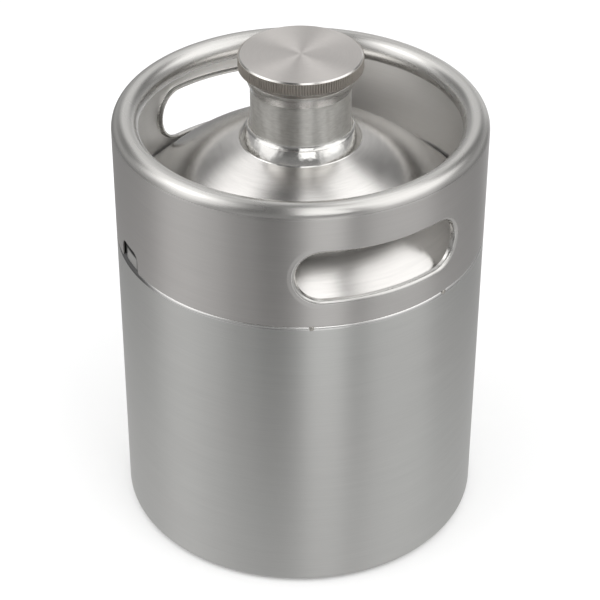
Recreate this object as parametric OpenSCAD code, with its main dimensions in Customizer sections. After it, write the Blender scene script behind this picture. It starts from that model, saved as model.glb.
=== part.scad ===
// Small stainless keg: a drawn vessel under a handle collar, closed by a screw cap.
// The frame's origin is the centre of the base, +Z is up and the hand slots face -Y and +Y.

/* [Vessel shell] */
// Outer diameter of the vessel and of the collar above it
body_d = 138; // [132:1:148]
// Thickness of the vessel's sheet
wall_t = 0.8; // [0.6:0.1:1]
// Height of the collar's lower edge, which is the seam round the body
seam_z = 120; // [100:1:150]
// Outer radius of the bend at the foot
foot_bend_r = 3.25; // [2:0.25:4]
// Width of the flat flange turned in under the foot
foot_flange = 5; // [4:0.5:7]
// Angle of each of the two bends that step the shell in under the collar
step_angle = 50; // [40:5:55]
// Height that the shell laps up inside the collar, above the step
lap_h = 3.4; // [2:0.2:6]

/* [Base pan] */
// Thickness of the base pan's sheet
pan_t = 0.8; // [0.6:0.1:1.2]
// Width of the pan's flat rim, which lies on the foot flange
pan_rim_w = 7; // [5:0.5:9]
// Radius of the pan's two bends
pan_bend_r = 3; // [2:0.25:4]
// Slope of the pan's wall, from level
pan_slope = 50; // [35:5:70]
// Height that the pan's middle is pushed up
pan_rise = 5; // [4:0.5:8]

/* [Shoulder dome] */
// Thickness of the dome's sheet
dome_t = 0.8; // [0.6:0.1:1.2]
// Radius of the round crown
crown_r = 80; // [72:1:86]
// Slope of the conical part, from level
cone_angle = 43.5; // [38:0.5:46]
// Outer radius of the knuckle between the cone and the wall
knuckle_r = 3; // [2:0.25:5]
// Height of the straight skirt below the knuckle
skirt_h = 1; // [0.5:0.25:3]

/* [Handle collar] */
// Thickness of the collar's sheet
collar_t = 0.8; // [0.6:0.1:1]
// Height of the rim above the seam
collar_h = 48; // [44:1:60]
// Outer radius of the curled rim
curl_r = 4.9; // [4:0.1:6]
// How far round the rim is curled
curl_angle = 250; // [200:5:270]
// Clearance between the shell's lap and the collar round it
lap_clearance = 0.05; // [0.02:0.01:0.1]

/* [Hand slots] */
// Length of each clear slot, along the wall
slot_w = 66; // [56:1:76]
// Height of each clear slot
slot_h = 20; // [16:0.5:22]
// Height of the slots' middle above the seam
slot_mid = 20.3; // [18:0.1:24]
// Outer radius of the bend that turns the slot's lip inwards
lip_bend_r = 1.5; // [1:0.1:1.6]
// Depth of the lip, from the collar's outer face
lip_depth = 2.6; // [2:0.1:4]

/* [Drain slots] */
// Width of each drain slot in the collar's lower edge
drain_w = 14; // [8:0.5:18]
// Height of each drain slot
drain_h = 8; // [6:0.5:10]
// Radius of a drain slot's upper corners
drain_corner_r = 3.5; // [2:0.5:3.5]

/* [Tack welds] */
// Number of pairs of tack welds, the first pair below the front hand slot
tack_pairs = 2; // [1:1:4]
// Angle round the body between the two welds of a pair
tack_spread = 45; // [30:5:60]
// Diameter of each tack weld on the wall
tack_d = 2.2; // [2:0.1:3]
// How far a tack weld stands out of the wall
tack_proud = 0.4; // [0.2:0.1:0.6]

/* [Neck] */
// Outer diameter of the neck
neck_d = 36.8; // [36:0.2:42]
// Height of the neck's mouth above the dome
neck_h = 26.9; // [22:0.1:36]
// How far the lip at the mouth stands out from the neck
lip_out = 1.5; // [1:0.1:2.5]
// Height of the upright band of the lip
lip_band_h = 1.9; // [1.6:0.1:4]
// Height of the flare below that band
lip_flare_h = 4.2; // [3:0.1:6]
// Diameter of the bore inside the neck
bore_d = 33.2; // [32.4:0.1:33.4]
// Length of the neck below the dome's crown
spigot_h = 2; // [1:0.5:4]
// Bevel round the mouth, inside and out
mouth_bevel = 0.7; // [0.4:0.1:0.8]
// Clearance between the neck and the hole in the dome
neck_clearance = 0.05; // [0.02:0.01:0.1]

/* [Neck weld] */
// Width of the dressed weld at the foot of the neck
weld_w = 4; // [3.6:0.1:4.6]
// Radius of its rounded shoulder
weld_r = 2.2; // [1.8:0.1:2.6]
// Radius of the hollow fillet above the shoulder
weld_fillet_r = 3.6; // [3:0.1:5]

/* [Screw cap] */
// How far the cap's head stands out past the neck's lip
cap_overhang = 2.9; // [1.5:0.1:5]
// Thickness of the head
cap_t = 5.2; // [4:0.1:6]
// Number of teeth in the knurl
knurl_teeth = 142; // [110:2:150]
// Depth of the knurl
knurl_depth = 0.3; // [0.2:0.05:0.4]
// Width of the flat ledge between the knurl's roots and each bevel
knurl_ledge = 0.1; // [0.05:0.05:0.2]
// Height of the bevel above and below the knurl
cap_bevel = 0.5; // [0.4:0.1:0.8]
// Room for the two threads between the plug and the neck's bore
thread_room = 1.5; // [1:0.1:1.6]
// Depth that the plug reaches into the neck
plug_h = 10; // [8:0.5:14]
// Thickness of the plug's wall
plug_wall = 3.1; // [2.5:0.1:4]
// Thickness of metal left above the hollow in the plug
crown_wall = 7; // [5:0.5:9]
// Bevel round the plug's lower end
plug_bevel = 1; // [0.5:0.25:1.5]

/* [Cap gasket] */
// Thickness of the silicone ring under the head
gasket_t = 1.5; // [1:0.1:2.5]
// How far the silicone ring lies inside the lip's bevel
gasket_setback = 0.1; // [0:0.05:0.4]
// Running gap above and below the silicone ring
gasket_gap = 0.05; // [0.03:0.01:0.1]
// Clearance between the silicone ring and the plug
gasket_clearance = 0.3; // [0.2:0.05:0.5]

/* [Hidden] */
$fn = 160;

// Points of an arc about c, from angle a0 to a1 in n steps
function arc(c, r, a0, a1, n) =
    [for (i = [0:n]) let (a = a0 + (a1 - a0) * i / n) c + r * [cos(a), sin(a)]];

// Steps in a bend of a few millimetres, in the crown of the dome and in the curled rim
bend_steps = 6;
crown_steps = 14;
curl_steps = 28;

// Sheets of the body
body_r = body_d / 2;
collar_in_r = body_r - collar_t;
lap_r = collar_in_r - lap_clearance;
flange_r = body_r - foot_bend_r;

// The step that lets the shell's top pass inside the collar
step_mid_r = (body_r - lap_r) / (2 * (1 - cos(step_angle)));
step_out_r = step_mid_r + wall_t / 2;
step_in_r = step_mid_r - wall_t / 2;
step_h = 2 * step_mid_r * sin(step_angle);
step_upper_x = lap_r + step_in_r;
// Rise from the step's foot to where its hollow bend clears the collar's inner edge
step_clear = step_h - sqrt(pow(step_in_r, 2) - pow(step_upper_x - collar_in_r, 2));
step_z = seam_z - step_clear - lap_clearance;
lap_z = step_z + step_h;
lap_top_z = lap_z + lap_h;

// Dome: skirt, knuckle, cone and crown, all tangent to each other
knuckle_c = [lap_r - knuckle_r, lap_top_z + skirt_h];
knuckle_end = 90 - cone_angle;
cone_foot = knuckle_c + knuckle_r * [cos(knuckle_end), sin(knuckle_end)];
cone_top_r = crown_r * sin(cone_angle);
crown_z = cone_foot[1] + (cone_foot[0] - cone_top_r) * tan(cone_angle) - crown_r * cos(cone_angle);
function crown_height(r, ball_r) = crown_z + sqrt(pow(ball_r, 2) - pow(r, 2));

// Neck and its weld, which sits on a flat-sided seat between these two circles of the crown
neck_r = neck_d / 2;
hole_r = neck_r + neck_clearance;
weld_out_r = neck_r + weld_w;
seat_out = [weld_out_r, crown_height(weld_out_r, crown_r)];
seat_in = [hole_r, crown_height(hole_r, crown_r)];
seat_slope = (seat_in[1] - seat_out[1]) / (hole_r - weld_out_r);
seat_angle = acos(weld_out_r / crown_r);
under_out = [0, crown_z] + (crown_r - dome_t) * [cos(seat_angle), sin(seat_angle)];
under_in = [hole_r, under_out[1] + seat_slope * (hole_r - under_out[0])];
weld_shoulder = [weld_out_r - weld_r, seat_out[1] + weld_r];
weld_crease_z = weld_shoulder[1] + weld_r;
mouth_z = seat_out[1] + neck_h;
neck_foot_z = under_in[1] - spigot_h;
lip_r = neck_r + lip_out;

// Collar
rim_z = seam_z + collar_h;
curl_c = [body_r - curl_r, rim_z - curl_r];
slot_z = seam_z + slot_mid;
// The lip's skin lies this far inside both faces of the wall that it grows out of
lip_inset = 0.05;
// How far the lip runs on inside the wall
lip_bury = 1.2;
// Steps round the lip's bend, along a straight run and round a slot's end
lip_bends = 4;
lip_run_steps = 12;
lip_end_steps = 14;

// Cap and gasket
gasket_z = mouth_z + gasket_gap;
gasket_out_r = lip_r - mouth_bevel - gasket_setback;
head_z = gasket_z + gasket_t + gasket_gap;
cap_top_z = head_z + cap_t;
cap_r = lip_r + cap_overhang;
disc_r = cap_r - knurl_depth - knurl_ledge;
plug_r = bore_d / 2 - thread_room;
plug_foot_z = mouth_z - plug_h;
gasket_in_r = plug_r + gasket_clearance;

// Amount by which a cutting shape runs past what it cuts
over = 1;

// Side wall with its foot turned in and its top stepped in to pass inside the collar
module vessel_shell() {
    foot_c = [flange_r, foot_bend_r];
    lower_c = [body_r - step_out_r, step_z];
    upper_c = [step_upper_x, lap_z];
    toe_r = flange_r - foot_flange;
    outside = concat(
        [[toe_r, 0]],
        arc(foot_c, foot_bend_r, -90, 0, bend_steps),
        arc(lower_c, step_out_r, 0, step_angle, bend_steps),
        arc(upper_c, step_in_r, 180 + step_angle, 180, bend_steps),
        [[lap_r, lap_top_z]]
    );
    inside = concat(
        [[lap_r - wall_t, lap_top_z]],
        arc(upper_c, step_out_r, 180, 180 + step_angle, bend_steps),
        arc(lower_c, step_in_r, step_angle, 0, bend_steps),
        arc(foot_c, foot_bend_r - wall_t, 0, -90, bend_steps),
        [[toe_r, wall_t]]
    );
    color([0.66, 0.66, 0.65]) rotate_extrude() polygon(concat(outside, inside));
}

// Pressed base with its middle pushed up, welded by its flat rim onto the foot flange
module base_pan() {
    slope_r = flange_r - pan_rim_w;
    inner_r = pan_bend_r;
    outer_r = pan_bend_r + pan_t;
    low_c = [slope_r, wall_t + pan_t + inner_r];
    slope = [-cos(pan_slope), sin(pan_slope)];
    // Length of the straight wall between the two bends
    straight = (pan_rise - (inner_r + outer_r) * (1 - cos(pan_slope))) / sin(pan_slope);
    high_c = low_c + straight * slope - (inner_r + outer_r) * [sin(pan_slope), cos(pan_slope)];
    under = concat(
        [[flange_r, wall_t]],
        arc(low_c, outer_r, 270, 270 - pan_slope, bend_steps),
        arc(high_c, inner_r, 90 - pan_slope, 90, bend_steps),
        [[0, high_c[1] + inner_r]]
    );
    above = concat(
        [[0, high_c[1] + outer_r]],
        arc(high_c, outer_r, 90, 90 - pan_slope, bend_steps),
        arc(low_c, inner_r, 270 - pan_slope, 270, bend_steps),
        [[flange_r, wall_t + pan_t]]
    );
    color([0.62, 0.62, 0.61]) rotate_extrude() polygon(concat(under, above));
}

// Pressed head: skirt, knuckle, cone and round crown with a hole for the neck
module shoulder_dome() {
    crown_c = [0, crown_z];
    top = concat(
        [[lap_r, lap_top_z]],
        arc(knuckle_c, knuckle_r, 0, knuckle_end, bend_steps),
        arc(crown_c, crown_r, knuckle_end, seat_angle, crown_steps),
        [seat_in]
    );
    under = concat(
        [under_in],
        arc(crown_c, crown_r - dome_t, seat_angle, knuckle_end, crown_steps),
        arc(knuckle_c, knuckle_r - dome_t, knuckle_end, 0, bend_steps),
        [[lap_r - dome_t, lap_top_z]]
    );
    color([0.72, 0.72, 0.71]) rotate_extrude() polygon(concat(top, under));
}

// Outline of a drain slot, from below the collar's edge up
module drain_outline() {
    half = drain_w / 2 - drain_corner_r;
    shoulder = drain_h - drain_corner_r;
    polygon(concat(
        [[-drain_w / 2, -over], [drain_w / 2, -over]],
        arc([half, shoulder], drain_corner_r, 0, 90, bend_steps),
        arc([-half, shoulder], drain_corner_r, 90, 180, bend_steps)
    ));
}

// Places round the slot's middle line: along the wall, then the direction out of the slot
lip_run = (slot_w - slot_h) / 2;
function run_place(side, i) = [side * lip_run * (1 - 2 * i / lip_run_steps), 0, side];
function end_place(side, i) =
    let (turn = 180 * i / lip_end_steps) [-side * lip_run, -side * sin(turn), side * cos(turn)];
lip_path = concat(
    [for (i = [0:lip_run_steps - 1]) run_place(1, i)],
    [for (i = [0:lip_end_steps - 1]) end_place(1, i)],
    [for (i = [0:lip_run_steps - 1]) run_place(-1, i)],
    [for (i = [0:lip_end_steps - 1]) end_place(-1, i)]
);
function wall_turn(place, out) = (place[0] + place[1] * out) / body_r * 180 / PI;

// Section of the lip: distance out from the clear outline, then depth below the wall's face
lip_section = concat(
    [[lip_bend_r + lip_bury, lip_inset]],
    arc([lip_bend_r, lip_bend_r], lip_bend_r - lip_inset, 270, 180, lip_bends),
    [[lip_inset, lip_depth], [collar_t - lip_inset, lip_depth]],
    arc([lip_bend_r, lip_bend_r], lip_bend_r - collar_t + lip_inset, 180, 270, lip_bends),
    [[lip_bend_r + lip_bury, collar_t - lip_inset]]
);

// Point of the lip on the wall that faces -Y
function lip_point(place, section) =
    let (
        out = slot_h / 2 + section[0],
        turn = wall_turn(place, out),
        r = body_r - section[1]
    ) [r * sin(turn), -r * cos(turn), slot_z + place[2] * out];

// Lip turned in round a hand slot, swept round the slot's outline on the curved wall
module slot_lip() {
    n = len(lip_path);
    m = len(lip_section);
    points = [for (place = lip_path) for (section = lip_section) lip_point(place, section)];
    faces = [
        for (i = [0:n - 1]) for (j = [0:m - 1])
            let (a = i * m + j, b = i * m + (j + 1) % m, c = (i + 1) % n * m + (j + 1) % m, d = (i + 1) % n * m + j)
                each [[a, b, c], [a, c, d]]
    ];
    polyhedron(points, faces);
}

// Outline that the slot's lip grows out of, seen straight from the front
module slot_cut() {
    out = slot_h / 2 + lip_bend_r;
    ends = [for (side = [1, -1]) for (i = [0:lip_end_steps]) end_place(side, i)];
    polygon([for (place = ends) [body_r * sin(wall_turn(place, out)), place[2] * out]]);
}

// Collar with its rim curled inwards, two lipped hand slots and two drain slots
module handle_collar() {
    section = concat(
        [[collar_in_r, seam_z], [body_r, seam_z]],
        arc(curl_c, curl_r, 0, curl_angle, curl_steps),
        arc(curl_c, curl_r - collar_t, curl_angle, 0, curl_steps)
    );
    color([0.66, 0.66, 0.65]) {
        difference() {
            rotate_extrude() polygon(section);
            for (turn = [0, 180]) rotate([0, 0, turn]) {
                translate([0, -body_r / 2, slot_z]) rotate([90, 0, 0]) linear_extrude(body_r) slot_cut();
                translate([body_r / 2, 0, seam_z]) rotate([90, 0, 90]) linear_extrude(body_r) drain_outline();
            }
        }
        for (turn = [0, 180]) rotate([0, 0, turn]) slot_lip();
    }
}

// Round beads that bridge the groove between the shell's step and the collar's edge
module tack_welds() {
    bead_r = (pow(tack_d / 2, 2) + pow(tack_proud, 2)) / (2 * tack_proud);
    bead_c = [0, tack_proud - bead_r];
    color([0.5, 0.48, 0.46]) for (i = [0:tack_pairs - 1]) for (side = [-0.5, 0.5])
        rotate([0, 0, 360 * i / tack_pairs + side * tack_spread - 90])
            translate([body_r, 0, (step_z + seam_z) / 2]) rotate([0, 90, 0]) rotate_extrude()
                polygon(concat([[0, 0]], arc(bead_c, bead_r, asin(1 - tack_proud / bead_r), 90, bend_steps)));
}

// Turned neck with a flared lip; the cap's thread runs in its bore
module neck_ring() {
    flare_top_z = mouth_z - lip_band_h;
    flare_foot_z = flare_top_z - lip_flare_h;
    bore_r = bore_d / 2;
    color([0.7, 0.7, 0.68]) rotate_extrude() polygon([
        [bore_r, neck_foot_z], [neck_r, neck_foot_z], [neck_r, flare_foot_z],
        [lip_r, flare_top_z], [lip_r, mouth_z - mouth_bevel], [lip_r - mouth_bevel, mouth_z],
        [bore_r + mouth_bevel, mouth_z], [bore_r, mouth_z - mouth_bevel]
    ]);
}

// Dressed weld between the neck and the dome: a rounded shoulder under a hollow fillet
module neck_weld() {
    fillet_c = [neck_r + weld_fillet_r, weld_crease_z + weld_fillet_r];
    fillet_end = 180 + acos((fillet_c[0] - weld_shoulder[0]) / weld_fillet_r);
    color([0.8, 0.8, 0.8]) rotate_extrude() polygon(concat(
        [[neck_r, seat_out[1] + seat_slope * (neck_r - weld_out_r)], seat_out],
        arc(weld_shoulder, weld_r, 0, 90, bend_steps),
        arc(fillet_c, weld_fillet_r, fillet_end, 180, bend_steps)
    ));
}

module cap_gasket()
    color([0.25, 0.25, 0.25]) rotate_extrude()
        translate([gasket_in_r, gasket_z]) square([gasket_out_r - gasket_in_r, gasket_t]);

// Straight knurl round the head
module knurl()
    linear_extrude(cap_t - 2 * cap_bevel) polygon([
        for (i = [0:2 * knurl_teeth - 1])
            (cap_r - knurl_depth * (i % 2)) * [cos(180 * i / knurl_teeth), sin(180 * i / knurl_teeth)]
    ]);

// Turned cap: a flat head, and a hollow plug that goes into the neck
module screw_cap() {
    recess_r = plug_r - plug_wall;
    recess_z = cap_top_z - crown_wall;
    color([0.75, 0.74, 0.72]) {
        rotate_extrude() polygon([
            [0, recess_z], [recess_r, recess_z], [recess_r, plug_foot_z],
            [plug_r - plug_bevel, plug_foot_z], [plug_r, plug_foot_z + plug_bevel], [plug_r, head_z],
            [disc_r - cap_bevel, head_z], [disc_r, head_z + cap_bevel],
            [disc_r, cap_top_z - cap_bevel], [disc_r - cap_bevel, cap_top_z], [0, cap_top_z]
        ]);
        translate([0, 0, head_z + cap_bevel]) knurl();
    }
}

vessel_shell();
base_pan();
shoulder_dome();
handle_collar();
tack_welds();
neck_ring();
neck_weld();
cap_gasket();
screw_cap();
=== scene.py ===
"""A small stainless drink keg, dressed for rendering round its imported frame.

The vessel, its base, the domed shoulder, the handle collar, the neck and the cap are built
again as fine closed meshes on the sizes of the solids that they stand for. The weld round the
neck has a fuller section than its solid. Lengths are in metres and the frame is the solids'
own: the origin is the centre of the base, +Z is up and the hand slots face -Y and +Y.
"""

from __future__ import annotations

import logging
import math
from dataclasses import astuple, dataclass, field
from enum import Enum

import bpy
import numpy as np
from mathutils import Matrix, Vector


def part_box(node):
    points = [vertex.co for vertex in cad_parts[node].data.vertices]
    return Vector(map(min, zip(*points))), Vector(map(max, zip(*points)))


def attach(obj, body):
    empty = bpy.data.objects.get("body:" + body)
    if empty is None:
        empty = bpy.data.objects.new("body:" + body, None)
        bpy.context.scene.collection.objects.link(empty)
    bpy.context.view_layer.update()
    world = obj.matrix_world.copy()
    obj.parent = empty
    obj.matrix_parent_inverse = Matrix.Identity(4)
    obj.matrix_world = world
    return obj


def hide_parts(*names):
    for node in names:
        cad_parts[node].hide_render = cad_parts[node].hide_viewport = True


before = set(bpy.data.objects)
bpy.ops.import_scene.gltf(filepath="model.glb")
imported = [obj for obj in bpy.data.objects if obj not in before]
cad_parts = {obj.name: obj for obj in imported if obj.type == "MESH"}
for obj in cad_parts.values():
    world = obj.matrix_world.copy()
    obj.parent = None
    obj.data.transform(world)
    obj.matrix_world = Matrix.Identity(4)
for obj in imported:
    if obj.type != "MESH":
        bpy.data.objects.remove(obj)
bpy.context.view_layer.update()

log = logging.getLogger("keg")
MM = 0.001
TAU = 2 * math.pi

# Points that are closer than this count as one
SAME_PLACE = 1e-7

Colour = tuple[float, float, float]


class Body(Enum):
    """The rigid bodies that pieces ride on."""

    KEG = "keg"
    GASKET = "gasket"
    CAP = "cap"


# Profiles and meshes


@dataclass
class Run:
    """One smooth stretch of a profile: its points and outward normals, as (radius, height)."""

    points: np.ndarray
    normals: np.ndarray


def line(start: tuple[float, float], end: tuple[float, float], parts: int = 1) -> Run:
    """Makes a straight run.

    Args:
        start: First point, as (radius, height).
        end: Last point.
        parts: Number of equal parts that the run is cut into.

    Returns:
        The run, with its outside on the right of its direction.
    """
    first, last = np.array(start, float), np.array(end, float)
    along = (last - first) / np.linalg.norm(last - first)
    steps = np.linspace(0, 1, parts + 1)[:, None]
    return Run(first + (last - first) * steps, np.tile([along[1], -along[0]], (parts + 1, 1)))


def arc(centre: tuple[float, float], radius: float, start: float, end: float, parts: int) -> Run:
    """Makes a round run.

    Args:
        centre: Centre of the arc, as (radius, height).
        radius: Radius of the arc.
        start: First angle, in degrees from the radial direction.
        end: Last angle; less than start for a hollow bend.
        parts: Number of equal parts that the run is cut into.

    Returns:
        The run, with its outside on the right of its direction.
    """
    angles = np.radians(np.linspace(start, end, parts + 1))
    spokes = np.stack([np.cos(angles), np.sin(angles)], 1)
    return Run(np.array(centre, float) + radius * spokes, spokes * math.copysign(1, end - start))


def corner(before: tuple[float, float], at: tuple[float, float], after: tuple[float, float],
           radius: float, parts: int = 3) -> Run:
    """Rounds a corner of a profile.

    Args:
        before: A point on the line that leads to the corner.
        at: The sharp corner.
        after: A point on the line that leaves it.
        radius: Radius of the rounding.
        parts: Number of equal parts of the arc.

    Returns:
        The arc that is tangent to both lines.
    """
    here = np.array(at, float)
    arrive = here - np.array(before, float)
    leave = np.array(after, float) - here
    arrive, leave = arrive / np.linalg.norm(arrive), leave / np.linalg.norm(leave)
    turn = math.atan2(arrive[0] * leave[1] - arrive[1] * leave[0], float(arrive @ leave))
    side = math.copysign(1, turn)
    cut = radius * math.tan(abs(turn) / 2)
    inward = side * np.array([-arrive[1], arrive[0]])
    centre = here - arrive * cut + inward * radius
    start = math.degrees(math.atan2(-inward[1], -inward[0]))
    return arc(tuple(centre), radius, start, start + math.degrees(turn), parts)


def joined(*runs: Run) -> list[Run]:
    """Links runs by straight ones wherever one doesn't start where the last one ended.

    Args:
        runs: Runs of a closed profile, in order, with the solid on their left.

    Returns:
        The runs with the links put in, closed from the last to the first.
    """
    chain: list[Run] = []
    for index, run in enumerate(runs):
        chain.append(run)
        onward = runs[(index + 1) % len(runs)].points[0]
        if np.linalg.norm(onward - run.points[-1]) > SAME_PLACE:
            chain.append(line(tuple(run.points[-1]), tuple(onward)))
    return chain


@dataclass
class Mesh:
    """Points, faces and one normal for each face corner of a mesh that is being built."""

    points: np.ndarray
    faces: list[tuple[int, ...]]
    corner_normals: np.ndarray

    def to_object(self, name: str) -> bpy.types.Object:
        """Makes a smooth Blender object with these exact normals.

        Args:
            name: Name of the object.

        Returns:
            The object, linked to the scene.
        """
        data = bpy.data.meshes.new(name)
        data.from_pydata(self.points.tolist(), [], self.faces)
        data.shade_smooth()
        data.normals_split_custom_set(self.corner_normals.tolist())
        piece = bpy.data.objects.new(name, data)
        bpy.context.scene.collection.objects.link(piece)
        return piece


def revolve(runs: list[Run], segments: int) -> Mesh:
    """Turns a closed profile round the Z axis.

    Args:
        runs: The closed profile, with the solid on the left of its direction.
        segments: Number of parts round the axis.

    Returns:
        A closed mesh with its faces outward.
    """
    angles = np.arange(segments) * TAU / segments
    spokes = np.stack([np.cos(angles), np.sin(angles)], 1)
    points: list[np.ndarray] = []
    rings: list[list[int]] = []

    def add_ring(radius: float, height: float) -> list[int]:
        """Adds the ring of a profile point, or a single point on the axis.

        Args:
            radius: Radius of the profile point.
            height: Its height.

        Returns:
            The numbers of the ring's points, one for each segment.
        """
        base = len(points)
        if radius < SAME_PLACE:
            points.append(np.array([0, 0, height]))
            return [base] * segments
        points.extend(np.array([radius * c, radius * s, height]) for c, s in spokes)
        return list(range(base, base + segments))

    faces: list[tuple[int, ...]] = []
    normals: list[tuple[float, float, float]] = []
    previous: list[int] | None = None
    for run in runs:
        for step, (radius, height) in enumerate(run.points):
            if step == 0 and previous is not None:
                ring = previous
            else:
                ring = add_ring(radius, height)
            if step == 0 and not rings:
                rings.append(ring)
            if step == len(run.points) - 1 and run is runs[-1]:
                ring = rings[0]
            if step > 0:
                low, high = run.normals[step - 1], run.normals[step]
                for j in range(segments):
                    k = (j + 1) % segments
                    quad = [(previous[j], low, j), (previous[k], low, k),
                            (ring[k], high, k), (ring[j], high, j)]
                    kept = [q for i, q in enumerate(quad) if q[0] != quad[i - 1][0]]
                    if len(kept) < 3:
                        continue
                    faces.append(tuple(q[0] for q in kept))
                    normals.extend((n[0] * spokes[m][0], n[0] * spokes[m][1], n[1]) for _, n, m in kept)
            previous = ring
    used = sorted({i for face in faces for i in face})
    remap = {old: new for new, old in enumerate(used)}
    return Mesh(np.array([points[i] for i in used]), [tuple(remap[i] for i in face) for face in faces],
                np.array(normals))


def rounded(shape: list[tuple[float, float, float]], parts: int) -> list[Run]:
    """Rounds every corner of a closed profile.

    Args:
        shape: The corners in order, each as (radius, height, radius of its rounding).
        parts: Number of equal parts of each rounding.

    Returns:
        The runs of the closed profile.
    """
    places = [(radius, height) for radius, height, _ in shape]
    onward = places[1:] + places[:1]
    corners = []
    for i, (_, _, radius) in enumerate(shape):
        corners.append(corner(places[i - 1], places[i], onward[i], radius, parts))
    return joined(*corners)


@dataclass
class Sheet:
    """Outer skin of a piece of sheet metal, which gets its thickness and round edges at the end."""

    thickness: float
    bulge: float
    points: list[np.ndarray] = field(default_factory=list)
    normals: list[np.ndarray] = field(default_factory=list)
    quads: list[tuple[int, int, int, int]] = field(default_factory=list)

    def add(self, point: np.ndarray, normal: np.ndarray) -> int:
        """Adds a point of the outer skin.

        Args:
            point: The point.
            normal: Direction in which the skin faces there, of any length.

        Returns:
            The number of the point.
        """
        self.points.append(point)
        self.normals.append(normal / np.linalg.norm(normal))
        return len(self.points) - 1

    def strip(self, lower: list[int], upper: list[int], closed: bool = False) -> None:
        """Fills the band between two rows of points with faces.

        Args:
            lower: The row below, from left to right seen from outside.
            upper: The row above, of the same length.
            closed: Whether the rows are rings.
        """
        count = len(lower)
        for i in range(count if closed else count - 1):
            k = (i + 1) % count
            self.quads.append((lower[i], lower[k], upper[k], upper[i]))

    def edge_loops(self) -> list[list[int]]:
        """Finds the open edges of the skin.

        Returns:
            Each loop of points, with the skin on its left seen from outside.
        """
        onward: dict[int, int] = {}
        halves = {(q[i], q[(i + 1) % 4]) for q in self.quads for i in range(4)}
        for a, b in halves:
            if (b, a) not in halves:
                onward[a] = b
        loops = []
        while onward:
            start, at = onward.popitem()
            loop = [start]
            while at != start:
                loop.append(at)
                at = onward.pop(at)
            loops.append(loop)
        return loops

    def to_mesh(self, edge_parts: int = 4) -> Mesh:
        """Gives the skin its thickness inward and rounds its open edges.

        Args:
            edge_parts: Number of parts of the rounding, from face to face.

        Returns:
            A closed mesh with its faces outward.
        """
        outer = np.array(self.points)
        normals = np.array(self.normals)
        count = len(outer)
        points = [outer, outer - self.thickness * normals]
        vertex_normals = [normals, -normals]
        faces: list[tuple[int, ...]] = list(self.quads)
        faces += [tuple(i + count for i in reversed(q)) for q in self.quads]
        total = 2 * count
        for loop in self.edge_loops():
            ids = np.array(loop)
            at, up = outer[ids], normals[ids]
            along = np.roll(at, -1, 0) - at
            along /= np.linalg.norm(along, axis=1)[:, None]
            off = np.cross(along, up) + np.cross(np.roll(along, 1, 0), up)
            off /= np.linalg.norm(off, axis=1)[:, None]
            middle = at - self.thickness / 2 * up
            rows = [ids]
            for part in range(1, edge_parts):
                angle = math.pi * part / edge_parts
                up_share, off_share = math.cos(angle), math.sin(angle)
                points.append(middle + self.thickness / 2 * up_share * up + self.bulge * off_share * off)
                lean = up_share * up / self.thickness * 2 + off_share * off / self.bulge
                vertex_normals.append(lean / np.linalg.norm(lean, axis=1)[:, None])
                rows.append(np.arange(total, total + len(ids)))
                total += len(ids)
            rows.append(ids + count)
            for near, far in zip(rows, rows[1:]):
                for i in range(len(ids)):
                    k = (i + 1) % len(ids)
                    faces.append((int(near[k]), int(near[i]), int(far[i]), int(far[k])))
        every = np.concatenate(vertex_normals)
        return Mesh(np.concatenate(points), faces, np.array([every[i] for face in faces for i in face]))


# Sizes of the keg, as its solids have them


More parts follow.
